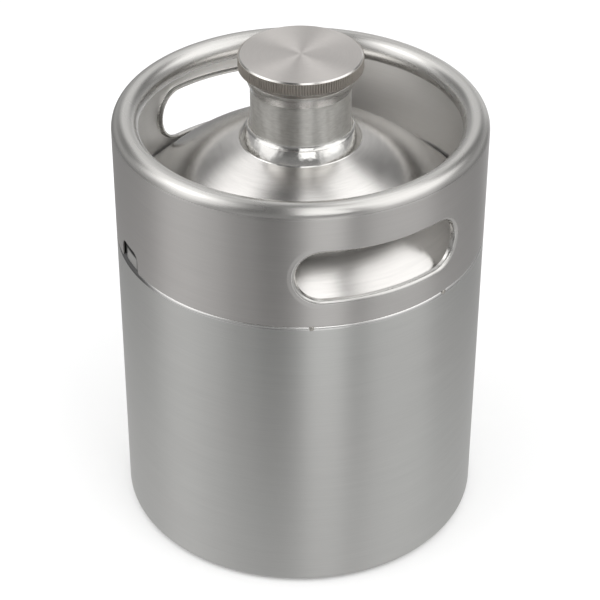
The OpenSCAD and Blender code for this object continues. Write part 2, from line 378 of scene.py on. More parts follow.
@dataclass(frozen=True)
class Sizes:
    """Sizes that several pieces share, in metres.

    Attributes:
        lap_gap: Room between the collar and the shell's lap inside it.
        lap_h: Height of that lap above the step.
        skirt_h: Height of the dome's upright edge, from the lap to its knuckle.
        neck_h: Height of the neck's mouth above the weld's lower edge.
        thread_sunk: How far a thread's middle line lies behind the face that it stands on.
        thread_start: Depth of the cap's thread below the neck's mouth.
    """

    body_r: float = 69 * MM
    sheet: float = 0.8 * MM
    seam_z: float = 120 * MM
    lap_gap: float = 0.05 * MM
    step_angle: float = 50.0
    lap_h: float = 3.4 * MM
    foot_bend_r: float = 3.25 * MM
    crown_r: float = 80 * MM
    cone_angle: float = 43.5
    knuckle_r: float = 3 * MM
    skirt_h: float = 1 * MM
    neck_r: float = 18.4 * MM
    neck_gap: float = 0.05 * MM
    neck_h: float = 26.9 * MM
    weld_w: float = 4 * MM
    lip_out: float = 1.5 * MM
    thread_pitch: float = 2 * MM
    thread_depth: float = 1.35 * MM
    thread_sunk: float = 0.15 * MM
    thread_start: float = 8.6 * MM

    @property
    def flange_r(self) -> float:
        """Radius at which the foot starts to turn in."""
        return self.body_r - self.foot_bend_r

    @property
    def collar_in_r(self) -> float:
        """Inner radius of the collar's wall."""
        return self.body_r - self.sheet

    @property
    def lap_r(self) -> float:
        """Outer radius of the shell's lap inside the collar."""
        return self.collar_in_r - self.lap_gap

    @property
    def step_r(self) -> float:
        """Radius of the step's two bends at the middle of the sheet."""
        return (self.body_r - self.lap_r) / (2 * (1 - math.cos(math.radians(self.step_angle))))

    @property
    def step_h(self) -> float:
        """Height of the step."""
        return 2 * self.step_r * math.sin(math.radians(self.step_angle))

    @property
    def step_z(self) -> float:
        """Height at which the step starts.

        Returns:
            The height that leaves the collar's lower edge a gap's width above the step's hollow bend.
        """
        hollow = self.step_r - self.sheet / 2
        reach = self.lap_r + hollow - self.collar_in_r
        return self.seam_z - self.lap_gap - (self.step_h - math.sqrt(hollow**2 - reach**2))

    @property
    def lap_top_z(self) -> float:
        """Height of the shell's upper edge, where the dome is welded on."""
        return self.step_z + self.step_h + self.lap_h

    @property
    def crown_z(self) -> float:
        """Height of the centre of the dome's round crown.

        Returns:
            The height at which the crown runs into the cone without a kink.
        """
        knuckle_r, knuckle_z = self.lap_r - self.knuckle_r, self.lap_top_z + self.skirt_h
        turn = math.radians(90 - self.cone_angle)
        foot_r = knuckle_r + self.knuckle_r * math.cos(turn)
        foot_z = knuckle_z + self.knuckle_r * math.sin(turn)
        top_r = self.crown_r * math.sin(math.radians(self.cone_angle))
        rise = (foot_r - top_r) * math.tan(math.radians(self.cone_angle))
        return foot_z + rise - self.crown_r * math.cos(math.radians(self.cone_angle))

    @property
    def weld_r(self) -> float:
        """Outer radius of the dressed weld."""
        return self.neck_r + self.weld_w

    @property
    def weld_z(self) -> float:
        """Height of the weld's lower edge on the dome."""
        return self.crown_z + math.sqrt(self.crown_r**2 - self.weld_r**2)

    @property
    def mouth_z(self) -> float:
        """Height of the neck's mouth."""
        return self.weld_z + self.neck_h

    @property
    def lip_r(self) -> float:
        """Outer radius of the neck's lip."""
        return self.neck_r + self.lip_out


SIZES = Sizes()


def dress(piece: bpy.types.Object, *materials: bpy.types.Material) -> None:
    """Gives a piece its materials; its faces name them by their place in this order."""
    for material in materials:
        piece.data.materials.append(material)


def finish_piece(piece: bpy.types.Object, body: Body, slot: str, *nodes: str) -> None:
    """Hands a finished piece to the frame.

    Args:
        piece: The finished mesh object, at the origin.
        body: The body that it moves with.
        slot: Name of the record's material slot for the piece; not used.
        nodes: The solids that it stands for.
    """
    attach(piece, body.value)
    if nodes:
        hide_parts(*nodes)
    log.info("%s: %d faces on %s", piece.name, len(piece.data.polygons), body.value)


# Node groups and finishes


def node_input(group: bpy.types.NodeTree, name: str, value: float, low: float = 0.0,
               high: float = 10000.0) -> None:
    """Adds a numeric input to a node group.

    Args:
        group: The node group.
        name: Name of the input.
        value: Its default.
        low: Its least value.
        high: Its greatest value.
    """
    socket = group.interface.new_socket(name, in_out="INPUT", socket_type="NodeSocketFloat")
    socket.default_value = value
    socket.min_value = low
    socket.max_value = high


def feed(tree: bpy.types.NodeTree, value: object, socket: bpy.types.NodeSocket) -> None:
    """Feeds an input of a node.

    Args:
        tree: The node's tree.
        value: The socket that is linked to the input, or the plain value that it is set to.
        socket: The input.
    """
    if isinstance(value, bpy.types.NodeSocket):
        tree.links.new(value, socket)
    else:
        socket.default_value = value


def math_node(tree: bpy.types.NodeTree, operation: str, first: object, second: object = None,
              third: object = None) -> bpy.types.NodeSocket:
    """Adds a Math node.

    Args:
        tree: The tree that gets the node.
        operation: The node's operation.
        first: First value, as a socket or a number.
        second: Second value.
        third: Third value.

    Returns:
        The node's output socket.
    """
    node = tree.nodes.new("ShaderNodeMath")
    node.operation = operation
    for socket, value in zip(node.inputs, (first, second, third)):
        if value is not None:
            feed(tree, value, socket)
    return node.outputs[0]


def mix_node(tree: bpy.types.NodeTree, share: object, first: object, second: object,
             blend: str = "MIX") -> bpy.types.NodeSocket:
    """Adds a Mix node for colours.

    Args:
        tree: The tree that gets the node.
        share: Share of the second colour, as a socket or a number.
        first: First colour, as a socket or as red, green and blue.
        second: Second colour.
        blend: The node's way of mixing.

    Returns:
        The node's colour output.
    """
    node = tree.nodes.new("ShaderNodeMix")
    node.data_type = "RGBA"
    node.blend_type = blend
    for index, value in zip((0, 6, 7), (share, first, second)):
        feed(tree, (*value, 1) if isinstance(value, tuple) else value, node.inputs[index])
    return node.outputs[2]


def fade_node(tree: bpy.types.NodeTree, value: object, start: object, end: object,
              first: float = 1.0, last: float = 0.0) -> bpy.types.NodeSocket:
    """Adds a soft step.

    Args:
        tree: The tree that gets the node.
        value: What the step reads, as a socket.
        start: Value at which the step starts, as a socket or a number.
        end: Value at which it ends.
        first: What it puts out before its start.
        last: What it puts out after its end.

    Returns:
        The node's output socket.
    """
    node = tree.nodes.new("ShaderNodeMapRange")
    node.interpolation_type = "SMOOTHSTEP"
    for socket, number in zip(node.inputs, (value, start, end, first, last)):
        feed(tree, number, socket)
    return node.outputs[0]


def build_turned_grain() -> bpy.types.NodeTree:
    """Builds the fine lines that turning, spinning or belt brushing leaves round an axis.

    Returns:
        A group that puts out fine lines, coarser ones and broad soft blotches, each from 0 to 1.
    """
    group = bpy.data.node_groups.new("turned_grain", "ShaderNodeTree")
    node_input(group, "Lines per metre", 2500.0)
    node_input(group, "Breaks round", 3.0)
    node_input(group, "Blotches per metre", 18.0)
    node_input(group, "Seed", 0.0, -1000.0)
    for name in ("Lines", "Coarse", "Blotches"):
        group.interface.new_socket(name, in_out="OUTPUT", socket_type="NodeSocketFloat")
    source = group.nodes.new("NodeGroupInput").outputs
    result = group.nodes.new("NodeGroupOutput").inputs
    place = group.nodes.new("ShaderNodeTexCoord").outputs["Object"]
    parts = group.nodes.new("ShaderNodeSeparateXYZ")
    group.links.new(place, parts.inputs[0])
    x, y, z = parts.outputs
    radius = math_node(group, "SQRT", math_node(
        group, "ADD", math_node(group, "MULTIPLY", x, x), math_node(group, "MULTIPLY", y, y)))
    off_axis = math_node(group, "MAXIMUM", radius, 0.01 * MM)

    def lines(share: float, detail: float) -> bpy.types.NodeSocket:
        """Adds noise that is long round the axis and short across it.

        Args:
            share: How many lines there are, as a share of the group's own number.
            detail: Detail of the noise.

        Returns:
            The noise, from 0 to 1.
        """
        across = math_node(group, "MULTIPLY", source["Lines per metre"], share)
        round_x, round_y = (
            math_node(group, "MULTIPLY", math_node(group, "DIVIDE", part, off_axis), source["Breaks round"])
            for part in (x, y))
        vector = group.nodes.new("ShaderNodeCombineXYZ")
        group.links.new(math_node(group, "ADD", round_x, source["Seed"]), vector.inputs[0])
        group.links.new(round_y, vector.inputs[1])
        group.links.new(math_node(group, "MULTIPLY", z, across), vector.inputs[2])
        noise = group.nodes.new("ShaderNodeTexNoise")
        noise.noise_dimensions = "4D"
        noise.inputs["Scale"].default_value = 1.0
        noise.inputs["Detail"].default_value = detail
        noise.inputs["Roughness"].default_value = 0.6
        group.links.new(vector.outputs[0], noise.inputs["Vector"])
        group.links.new(math_node(group, "MULTIPLY", radius, across), noise.inputs["W"])
        return noise.outputs[0]

    blotch = group.nodes.new("ShaderNodeTexNoise")
    blotch.inputs["Detail"].default_value = 2.0
    shift = group.nodes.new("ShaderNodeVectorMath")
    shift.operation = "ADD"
    group.links.new(place, shift.inputs[0])
    group.links.new(source["Seed"], shift.inputs[1])
    group.links.new(shift.outputs[0], blotch.inputs["Vector"])
    group.links.new(source["Blotches per metre"], blotch.inputs["Scale"])
    group.links.new(lines(share=1.0, detail=2.0), result["Lines"])
    group.links.new(lines(share=0.13, detail=1.0), result["Coarse"])
    group.links.new(blotch.outputs[0], result["Blotches"])
    return group


class Grain(Enum):
    """How the fine scratches of a finish run."""

    TURNED = "turned"
    POLISHED = "polished"


class Relief(Enum):
    """What a finish's unevenness follows, by the name of the grain's output."""

    LINES = "Lines"
    DENTS = "Blotches"


@dataclass(frozen=True)
class Steel:
    """A finish of stainless steel.

    Attributes:
        stretch: How far its highlights are drawn out across the grain, from 0 to 1.
        stretch_turn: Turn of its tangent from the direction round the axis, in whole turns.
        breaks: How often the grain's lines break on their way round.
        tone: How strongly the grain's lines show in the colour.
        roughness_range: How far the coarser lines move the roughness up and down.
        relief_depth: Depth of the unevenness that bends its reflections.
        fine_tone: Weight of the fine lines in the tone.
        coarse_tone: Weight of the coarser lines in the tone.
        darkest_line: Least share of the colour that a line can show.
        palest_line: Greatest share of the colour that a line can show.
    """

    name: str
    colour: Colour
    roughness: float
    stretch: float = 0.0
    stretch_turn: float = 0.25
    lines_per_metre: float = 2500.0
    blotches_per_metre: float = 18.0
    breaks: float = 3.0
    seed: float = 0.0
    tone: float = 0.03
    roughness_range: float = 0.05
    relief: Relief = Relief.LINES
    relief_depth: float = 0.0
    relief_strength: float = 0.6
    grain: Grain = Grain.TURNED
    fine_tone: float = 2.0
    coarse_tone: float = 1.2
    darkest_line: float = 0.5
    palest_line: float = 1.5
    warm_tint: Colour = (1.0, 0.985, 0.975)
    cool_tint: Colour = (0.99, 1.0, 0.985)

    def build(self, group: bpy.types.NodeTree) -> bpy.types.Material:
        """Builds the material.

        Args:
            group: The turned grain's node group.

        Returns:
            The material.
        """
        material = bpy.data.materials.new(self.name)
        material.use_nodes = True
        tree = material.node_tree
        shader = tree.nodes["Principled BSDF"]
        shader.inputs["Metallic"].default_value = 1.0
        if self.grain is Grain.TURNED:
            shader.inputs["Anisotropic"].default_value = self.stretch
            shader.inputs["Anisotropic Rotation"].default_value = self.stretch_turn
            tangent = tree.nodes.new("ShaderNodeTangent")
            tangent.direction_type = "RADIAL"
            tangent.axis = "Z"
            tree.links.new(tangent.outputs[0], shader.inputs["Tangent"])
        texture = tree.nodes.new("ShaderNodeGroup")
        texture.node_tree = group
        for name, value in (("Lines per metre", self.lines_per_metre), ("Breaks round", self.breaks),
                            ("Blotches per metre", self.blotches_per_metre), ("Seed", self.seed)):
            texture.inputs[name].default_value = value
        self.colour_steel(tree, shader, texture)
        if self.relief_depth > 0:
            bump = tree.nodes.new("ShaderNodeBump")
            bump.inputs["Strength"].default_value = self.relief_strength
            bump.inputs["Distance"].default_value = self.relief_depth
            tree.links.new(texture.outputs[self.relief.value], bump.inputs["Height"])
            tree.links.new(bump.outputs[0], shader.inputs["Normal"])
        return material

    def colour_steel(self, tree: bpy.types.NodeTree, shader: bpy.types.Node,
                     texture: bpy.types.Node) -> None:
        """Varies the steel's colour and roughness with its grain.

        Args:
            tree: The material's tree.
            shader: Its Principled BSDF.
            texture: The grain's group node.
        """
        fine, coarse = (
            math_node(tree, "SUBTRACT", texture.outputs[name], 0.5) for name in ("Lines", "Coarse"))
        shade = math_node(tree, "MULTIPLY_ADD", fine, self.fine_tone * self.tone, math_node(
            tree, "MULTIPLY_ADD", coarse, self.coarse_tone * self.tone, 0.5))
        lined = mix_node(tree, shade, tuple(c * self.darkest_line for c in self.colour),
                         tuple(min(c * self.palest_line, 1) for c in self.colour))
        tint = mix_node(tree, texture.outputs["Blotches"], self.warm_tint, self.cool_tint)
        tree.links.new(mix_node(tree, 1.0, lined, tint, "MULTIPLY"), shader.inputs["Base Color"])
        rough = math_node(tree, "MULTIPLY_ADD", coarse, 2 * self.roughness_range, self.roughness)
        tree.links.new(rough, shader.inputs["Roughness"])


class Axis(Enum):
    """The axes of the keg that a shade's border can lie across, by their numbers."""

    Y = 1
    Z = 2


@dataclass(frozen=True)
class Shade:
    """A soft border between unshaded steel and the painted shade by a drain slot, in metres."""

    axis: Axis
    unshaded_from: float
    shaded_from: float


def paint_slot_shade(material: bpy.types.Material, *borders: Shade, level: float) -> None:
    """Paints shade into the steel's colour where it lies in the shade of a drain slot.

    Args:
        material: The steel, which keeps its own colour on the unshaded side of every border.
        borders: Borders across an axis of the keg, by distance from its middle or its base.
        level: Colour of the painted shade.
    """
    tree = material.node_tree
    colour = tree.nodes["Principled BSDF"].inputs["Base Color"]
    parts = tree.nodes.new("ShaderNodeSeparateXYZ")
    tree.links.new(tree.nodes.new("ShaderNodeTexCoord").outputs["Object"], parts.inputs[0])
    unshaded = 1.0
    for border in borders:
        distance = math_node(tree, "ABSOLUTE", parts.outputs[border.axis.value])
        fade = fade_node(tree, distance, border.unshaded_from, border.shaded_from)
        unshaded = math_node(tree, "MULTIPLY", fade, unshaded)
    # Mixes the painted shade into the steel's own colour.
    tree.links.new(mix_node(tree, unshaded, (level, level, level), colour.links[0].from_socket), colour)


@dataclass(frozen=True)
class Silicone:
    """Milky silicone of the seal, with a fine mottle in its colour and gloss."""

    name: str = "silicone"
    colour: Colour = (0.8, 0.8, 0.78)
    roughness: float = 0.45
    roughness_range: float = 0.1
    mottle: float = 0.93
    mottles_per_metre: float = 260.0
    cloudiness: float = 0.15
    light_reach: float = 1 * MM

    def build(self) -> bpy.types.Material:
        """Builds the material.

        Returns:
            The material.
        """
        material = bpy.data.materials.new(self.name)
        material.use_nodes = True
        tree = material.node_tree
        shader = tree.nodes["Principled BSDF"]
        shader.inputs["Subsurface Weight"].default_value = self.cloudiness
        shader.inputs["Subsurface Scale"].default_value = self.light_reach
        noise = tree.nodes.new("ShaderNodeTexNoise")
        noise.inputs["Scale"].default_value = self.mottles_per_metre
        place = tree.nodes.new("ShaderNodeTexCoord")
        tree.links.new(place.outputs["Object"], noise.inputs["Vector"])
        darker = tuple(c * self.mottle for c in self.colour)
        tree.links.new(mix_node(tree, noise.outputs[0], darker, self.colour), shader.inputs["Base Color"])
        rough = math_node(tree, "MULTIPLY_ADD", noise.outputs[0], self.roughness_range, self.roughness)
        tree.links.new(rough, shader.inputs["Roughness"])
        return material


@dataclass
class Finishes:
    """All materials of the keg, built once."""

    grain: bpy.types.NodeTree = field(default_factory=build_turned_grain)
    steel: Colour = (0.57, 0.562, 0.55)

    def __post_init__(self) -> None:
        """Builds the materials."""
        self.build_sheet_finishes()
        self.build_neck_finishes()
        self.build_cap_finishes()
        self.paint_joint_shade()

    def build_sheet_finishes(self) -> None:
        """Builds the finishes of the vessel, the collar, the base and the tack welds."""
        self.wall = Steel(
            "wall_steel", (0.6, 0.6, 0.592), roughness=0.38, stretch=0.88, lines_per_metre=2200,
            tone=0.055, relief_depth=0.012 * MM).build(self.grain)
        self.collar = Steel(
            "collar_wall_steel", (0.575, 0.56, 0.552), roughness=0.38, stretch=0.88,
            lines_per_metre=2200, seed=1, tone=0.055, relief_depth=0.012 * MM).build(self.grain)
        self.rolled = Steel(
            "rolled_steel", self.steel, roughness=0.27, stretch=0.45, lines_per_metre=1600, seed=4,
            tone=0.07, relief_depth=0.012 * MM).build(self.grain)
        # The collar's inside is much lighter than its outside as painted light.
        self.lit_inner_wall = Steel(
            "inner_wall_steel", (0.94, 0.915, 0.885), roughness=0.46, stretch=0.6,
            lines_per_metre=2200, seed=3, tone=0.05, relief_depth=0.012 * MM).build(self.grain)
        # The joint's step is much lighter than the wall as a painted highlight, besides its smoother
        # finish.
        self.seam = Steel(
            "seam_steel", (0.86, 0.85, 0.83), roughness=0.26, stretch=0.3, lines_per_metre=2200,
            seed=5, relief_depth=0.006 * MM).build(self.grain)
        self.lap = Steel(
            "lap_steel", self.steel, roughness=0.35, stretch=0.5, lines_per_metre=2200, seed=8,
            tone=0.05, relief_depth=0.006 * MM).build(self.grain)
        # Cut edges are near black as painted shade in the slots' edges.
        self.shaded_cut_edge = Steel(
            "cut_edge_steel", (0.16, 0.155, 0.15), roughness=0.4, lines_per_metre=2200,
            grain=Grain.POLISHED).build(self.grain)
        self.base = Steel(
            "base_steel", self.steel, roughness=0.42, stretch=0.7, lines_per_metre=1800, seed=9,
            tone=0.035, relief_depth=0.01 * MM).build(self.grain)
        self.dome = Steel(
            "dome_steel", (0.62, 0.608, 0.598), roughness=0.24, stretch=0.6, lines_per_metre=1200,
            seed=2, tone=0.09, relief_depth=0.014 * MM).build(self.grain)
        self.tack = Steel(
            "tack_steel", (0.52, 0.5, 0.47), roughness=0.26, lines_per_metre=6000, tone=0.1,
            roughness_range=0.08, grain=Grain.POLISHED).build(self.grain)

    def build_neck_finishes(self) -> None:
        """Builds the finishes of the neck and its weld."""
        self.bead = Steel(
            "polished_steel", (0.64, 0.632, 0.62), roughness=0.17, lines_per_metre=1500,
            blotches_per_metre=170, tone=0.02, roughness_range=0.04, relief=Relief.DENTS,
            relief_depth=0.5 * MM, grain=Grain.POLISHED).build(self.grain)
        self.neck = Steel(
            "neck_steel", (0.73, 0.695, 0.655), roughness=0.42, stretch=0.88, lines_per_metre=1300,
            breaks=7, seed=6, tone=0.22, roughness_range=0.08, relief_depth=0.03 * MM).build(self.grain)
        self.lip = Steel(
            "neck_lip_steel", (0.76, 0.735, 0.71), roughness=0.22, stretch=0.3, lines_per_metre=1300,
            breaks=7, seed=6, tone=0.12, roughness_range=0.06, relief_depth=0.02 * MM).build(self.grain)
        self.turned_edge = Steel(
            "turned_edge_steel", (0.66, 0.65, 0.63), roughness=0.17, stretch=0.3,
            lines_per_metre=2600, seed=7, tone=0.02).build(self.grain)

    def build_cap_finishes(self) -> None:
        """Builds the finishes of the cap and its seal."""
        self.cap = Steel(
            "cap_steel", (0.6, 0.576, 0.562), roughness=0.43, stretch=0.78, lines_per_metre=2400,
            seed=12, tone=0.06, relief_depth=0.012 * MM).build(self.grain)
        # The knurl is darker than the cap's turned steel as painted shade of its grooves.
        self.knurl = Steel(
            "knurl_steel", (0.42, 0.39, 0.36), roughness=0.4, lines_per_metre=3200, tone=0.05,
            grain=Grain.POLISHED).build(self.grain)
        self.silicone = Silicone().build()

    def paint_joint_shade(self) -> None:
        """Paints shade into the lap's colour behind the drain slots, and a dark reflection into the joint's
        line under them.
        """
        seam_z = SIZES.seam_z
        slot_side = Shade(Axis.Y, unshaded_from=3.4 * MM, shaded_from=6 * MM)
        slot_top = Shade(Axis.Z, unshaded_from=seam_z + 4.2 * MM, shaded_from=seam_z + 5.2 * MM)
        # Painted shade on the lap seen through the drain slots.
        paint_slot_shade(self.lap, slot_side, slot_top, level=0.05)
        under_slot = Shade(Axis.Y, unshaded_from=22 * MM, shaded_from=8 * MM)
        # Painted dark reflection on the joint's line under the drain slots.
        paint_slot_shade(self.seam, under_slot, level=0.2)


# Rules for what repeats or winds


@dataclass
class Rule:
    """A Geometry Nodes tree that is being built, with named inputs for its sizes."""

    name: str
    settings: dict[str, float] = field(default_factory=dict)

    def __post_init__(self) -> None:
        """Starts the tree."""
        self.tree = bpy.data.node_groups.new(self.name, "GeometryNodeTree")
        self.tree.interface.new_socket("Geometry", in_out="OUTPUT", socket_type="NodeSocketGeometry")
        self.source = self.tree.nodes.new("NodeGroupInput")
        self.result = self.tree.nodes.new("NodeGroupOutput")

    def size(self, name: str, value: float) -> bpy.types.NodeSocket:
        """Adds a named length or ratio.

        Args:
            name: Name of the input.
            value: What it is set to.

        Returns:
            Its socket.
        """
        self.tree.interface.new_socket(name, in_out="INPUT", socket_type="NodeSocketFloat")
        self.settings[name] = value
        return self.source.outputs[name]

    def count(self, name: str, value: int) -> bpy.types.NodeSocket:
        """Adds a named whole number.

        Args:
            name: Name of the input.
            value: What it is set to.

        Returns:
            Its socket.
        """
        self.tree.interface.new_socket(name, in_out="INPUT", socket_type="NodeSocketInt")
        self.settings[name] = value
        return self.source.outputs[name]

    def add(self, kind: str, values: dict[str, object], **options: object) -> bpy.types.Node:
        """Adds a node.

        Args:
            kind: Type of the node.
            values: Links and plain values, by the names of the node's inputs.
            options: Attributes of the node, such as its mode.

        Returns:
            The node.
        """
        node = self.tree.nodes.new(kind)
        for option, choice in options.items():
            setattr(node, option, choice)
        for name, value in values.items():
            feed(self.tree, value, next(s for s in node.inputs if s.name == name and s.enabled))
        return node

    def math(self, operation: str, first: object, second: object = 0.0,
             third: object = 0.0) -> bpy.types.NodeSocket:
        """Adds a Math node and returns its output."""
        return math_node(self.tree, operation, first, second, third)

    def vector(self, x: object, y: object, z: object) -> bpy.types.NodeSocket:
        """Adds a Combine XYZ node and returns its output."""
        return self.add("ShaderNodeCombineXYZ", {"X": x, "Y": y, "Z": z}).outputs[0]

    def random(self, low: float, high: float, seed: int) -> bpy.types.NodeSocket:
        """Adds a seeded random number for each point.

        Args:
            low: Its least value.
            high: Its greatest value.
            seed: Its seed.

        Returns:
            The node's output.
        """
        values = {"Min": low, "Max": high, "Seed": seed}
        node = self.add("FunctionNodeRandomValue", values, data_type="FLOAT")
        return next(s for s in node.outputs if s.enabled)

    def to_object(self, name: str, geometry: bpy.types.NodeSocket, material: bpy.types.Material,
                  sharp_degrees: float = 50.0) -> bpy.types.Object:
        """Ends the tree and turns its result into a plain mesh object.

        Args:
            name: Name of the object.
            geometry: The last geometry of the tree.
            material: Material of the result.
            sharp_degrees: Smallest angle between faces that stays a sharp edge.

        Returns:
            The object, linked to the scene.
        """
        real = self.add("GeometryNodeRealizeInstances", {"Geometry": geometry})
        dressed = self.add("GeometryNodeSetMaterial", {"Geometry": real.outputs[0], "Material": material})
        self.tree.links.new(dressed.outputs[0], self.result.inputs[0])
        piece = bpy.data.objects.new(name, bpy.data.meshes.new(name))
        bpy.context.scene.collection.objects.link(piece)
        modifier = piece.modifiers.new(self.name, "NODES")
        modifier.node_group = self.tree
        for socket in self.tree.interface.items_tree:
            if socket.in_out == "INPUT":
                modifier[socket.identifier] = self.settings[socket.name]
        evaluated = piece.evaluated_get(bpy.context.evaluated_depsgraph_get())
        result = bpy.data.meshes.new_from_object(evaluated)
        piece.modifiers.clear()
        piece.data = result
        result.name = name
        result.shade_smooth()
        result.set_sharp_from_angle(angle=math.radians(sharp_degrees))
        return piece


@dataclass(frozen=True)
class Thread:
    """The ridge of a right-handed thread that runs out gently at both ends.

    Attributes:
        radius: Radius of the ridge's middle line; half of the ridge is sunk in the wall.
        depth: How far the ridge reaches from that line, to each side.
        start_z: Height of its lower end.
        outward: Whether its crest is outside, or inside as it is in a bore.
        width: Height of the ridge at its sunk side.
        crest_share: Width of its crest, as a share of that width.
        run_out: Share of the ridge over which each end grows to full size.
        thinnest: Size of the ridge at its very ends, as a share of full size.
    """

    radius: float
    depth: float
    start_z: float
    pitch: float
    turns: float
    outward: bool
    width: float = 1.15 * MM
    crest_share: float = 0.3
    run_out: float = 0.08
    thinnest: float = 0.05
    parts_per_turn: int = 96
    sharp_degrees: float = 30.0

    def build(self, name: str, material: bpy.types.Material) -> bpy.types.Object:
        """Winds the ridge.

        Args:
            name: Name of the object.
            material: Material of the ridge.

        Returns:
            The object.
        """
        rule = Rule(name + "_rule")
        middle = rule.size("Middle radius", self.radius)
        height = rule.size("Rise", self.pitch * self.turns)
        rounds = rule.size("Turns", self.turns)
        thick = rule.size("Width at foot", self.width)
        crest = rule.size("Width at crest", self.width * self.crest_share)
        whole = rule.size("Depth", 2 * self.depth)
        run_out = rule.size("Run out", self.run_out)
        spiral = rule.add("GeometryNodeCurveSpiral", {
            "Resolution": self.parts_per_turn, "Rotations": rounds, "Start Radius": middle,
            "End Radius": middle, "Height": height})
        along = rule.add("GeometryNodeSplineParameter", {}).outputs["Factor"]
        near = rule.math("MINIMUM", along, rule.math("SUBTRACT", 1.0, along))
        full = rule.math("MINIMUM", rule.math("DIVIDE", near, run_out), 1.0)
        fade = rule.math("MAXIMUM", full, self.thinnest)
        tapered = rule.add("GeometryNodeSetCurveRadius", {"Curve": spiral.outputs[0], "Radius": fade})
        level = rule.add("GeometryNodeSetCurveNormal", {"Curve": tapered.outputs[0]}, mode="Z_UP")
        section = rule.add("GeometryNodeCurvePrimitiveQuadrilateral", {
            "Bottom Width": thick, "Top Width": crest, "Height": whole, "Offset": 0.0}, mode="TRAPEZOID")
        facing = rule.add("GeometryNodeTransform", {
            "Geometry": section.outputs[0],
            "Rotation": (0.0, 0.0, math.radians(90 if self.outward else -90))})
        ridge = rule.add("GeometryNodeCurveToMesh", {
            "Curve": level.outputs[0], "Profile Curve": facing.outputs[0], "Fill Caps": True})
        lifted = rule.add("GeometryNodeTransform", {
            "Geometry": ridge.outputs[0], "Translation": (0.0, 0.0, self.start_z)})
        return rule.to_object(name, lifted.outputs[0], material, self.sharp_degrees)


# Pieces


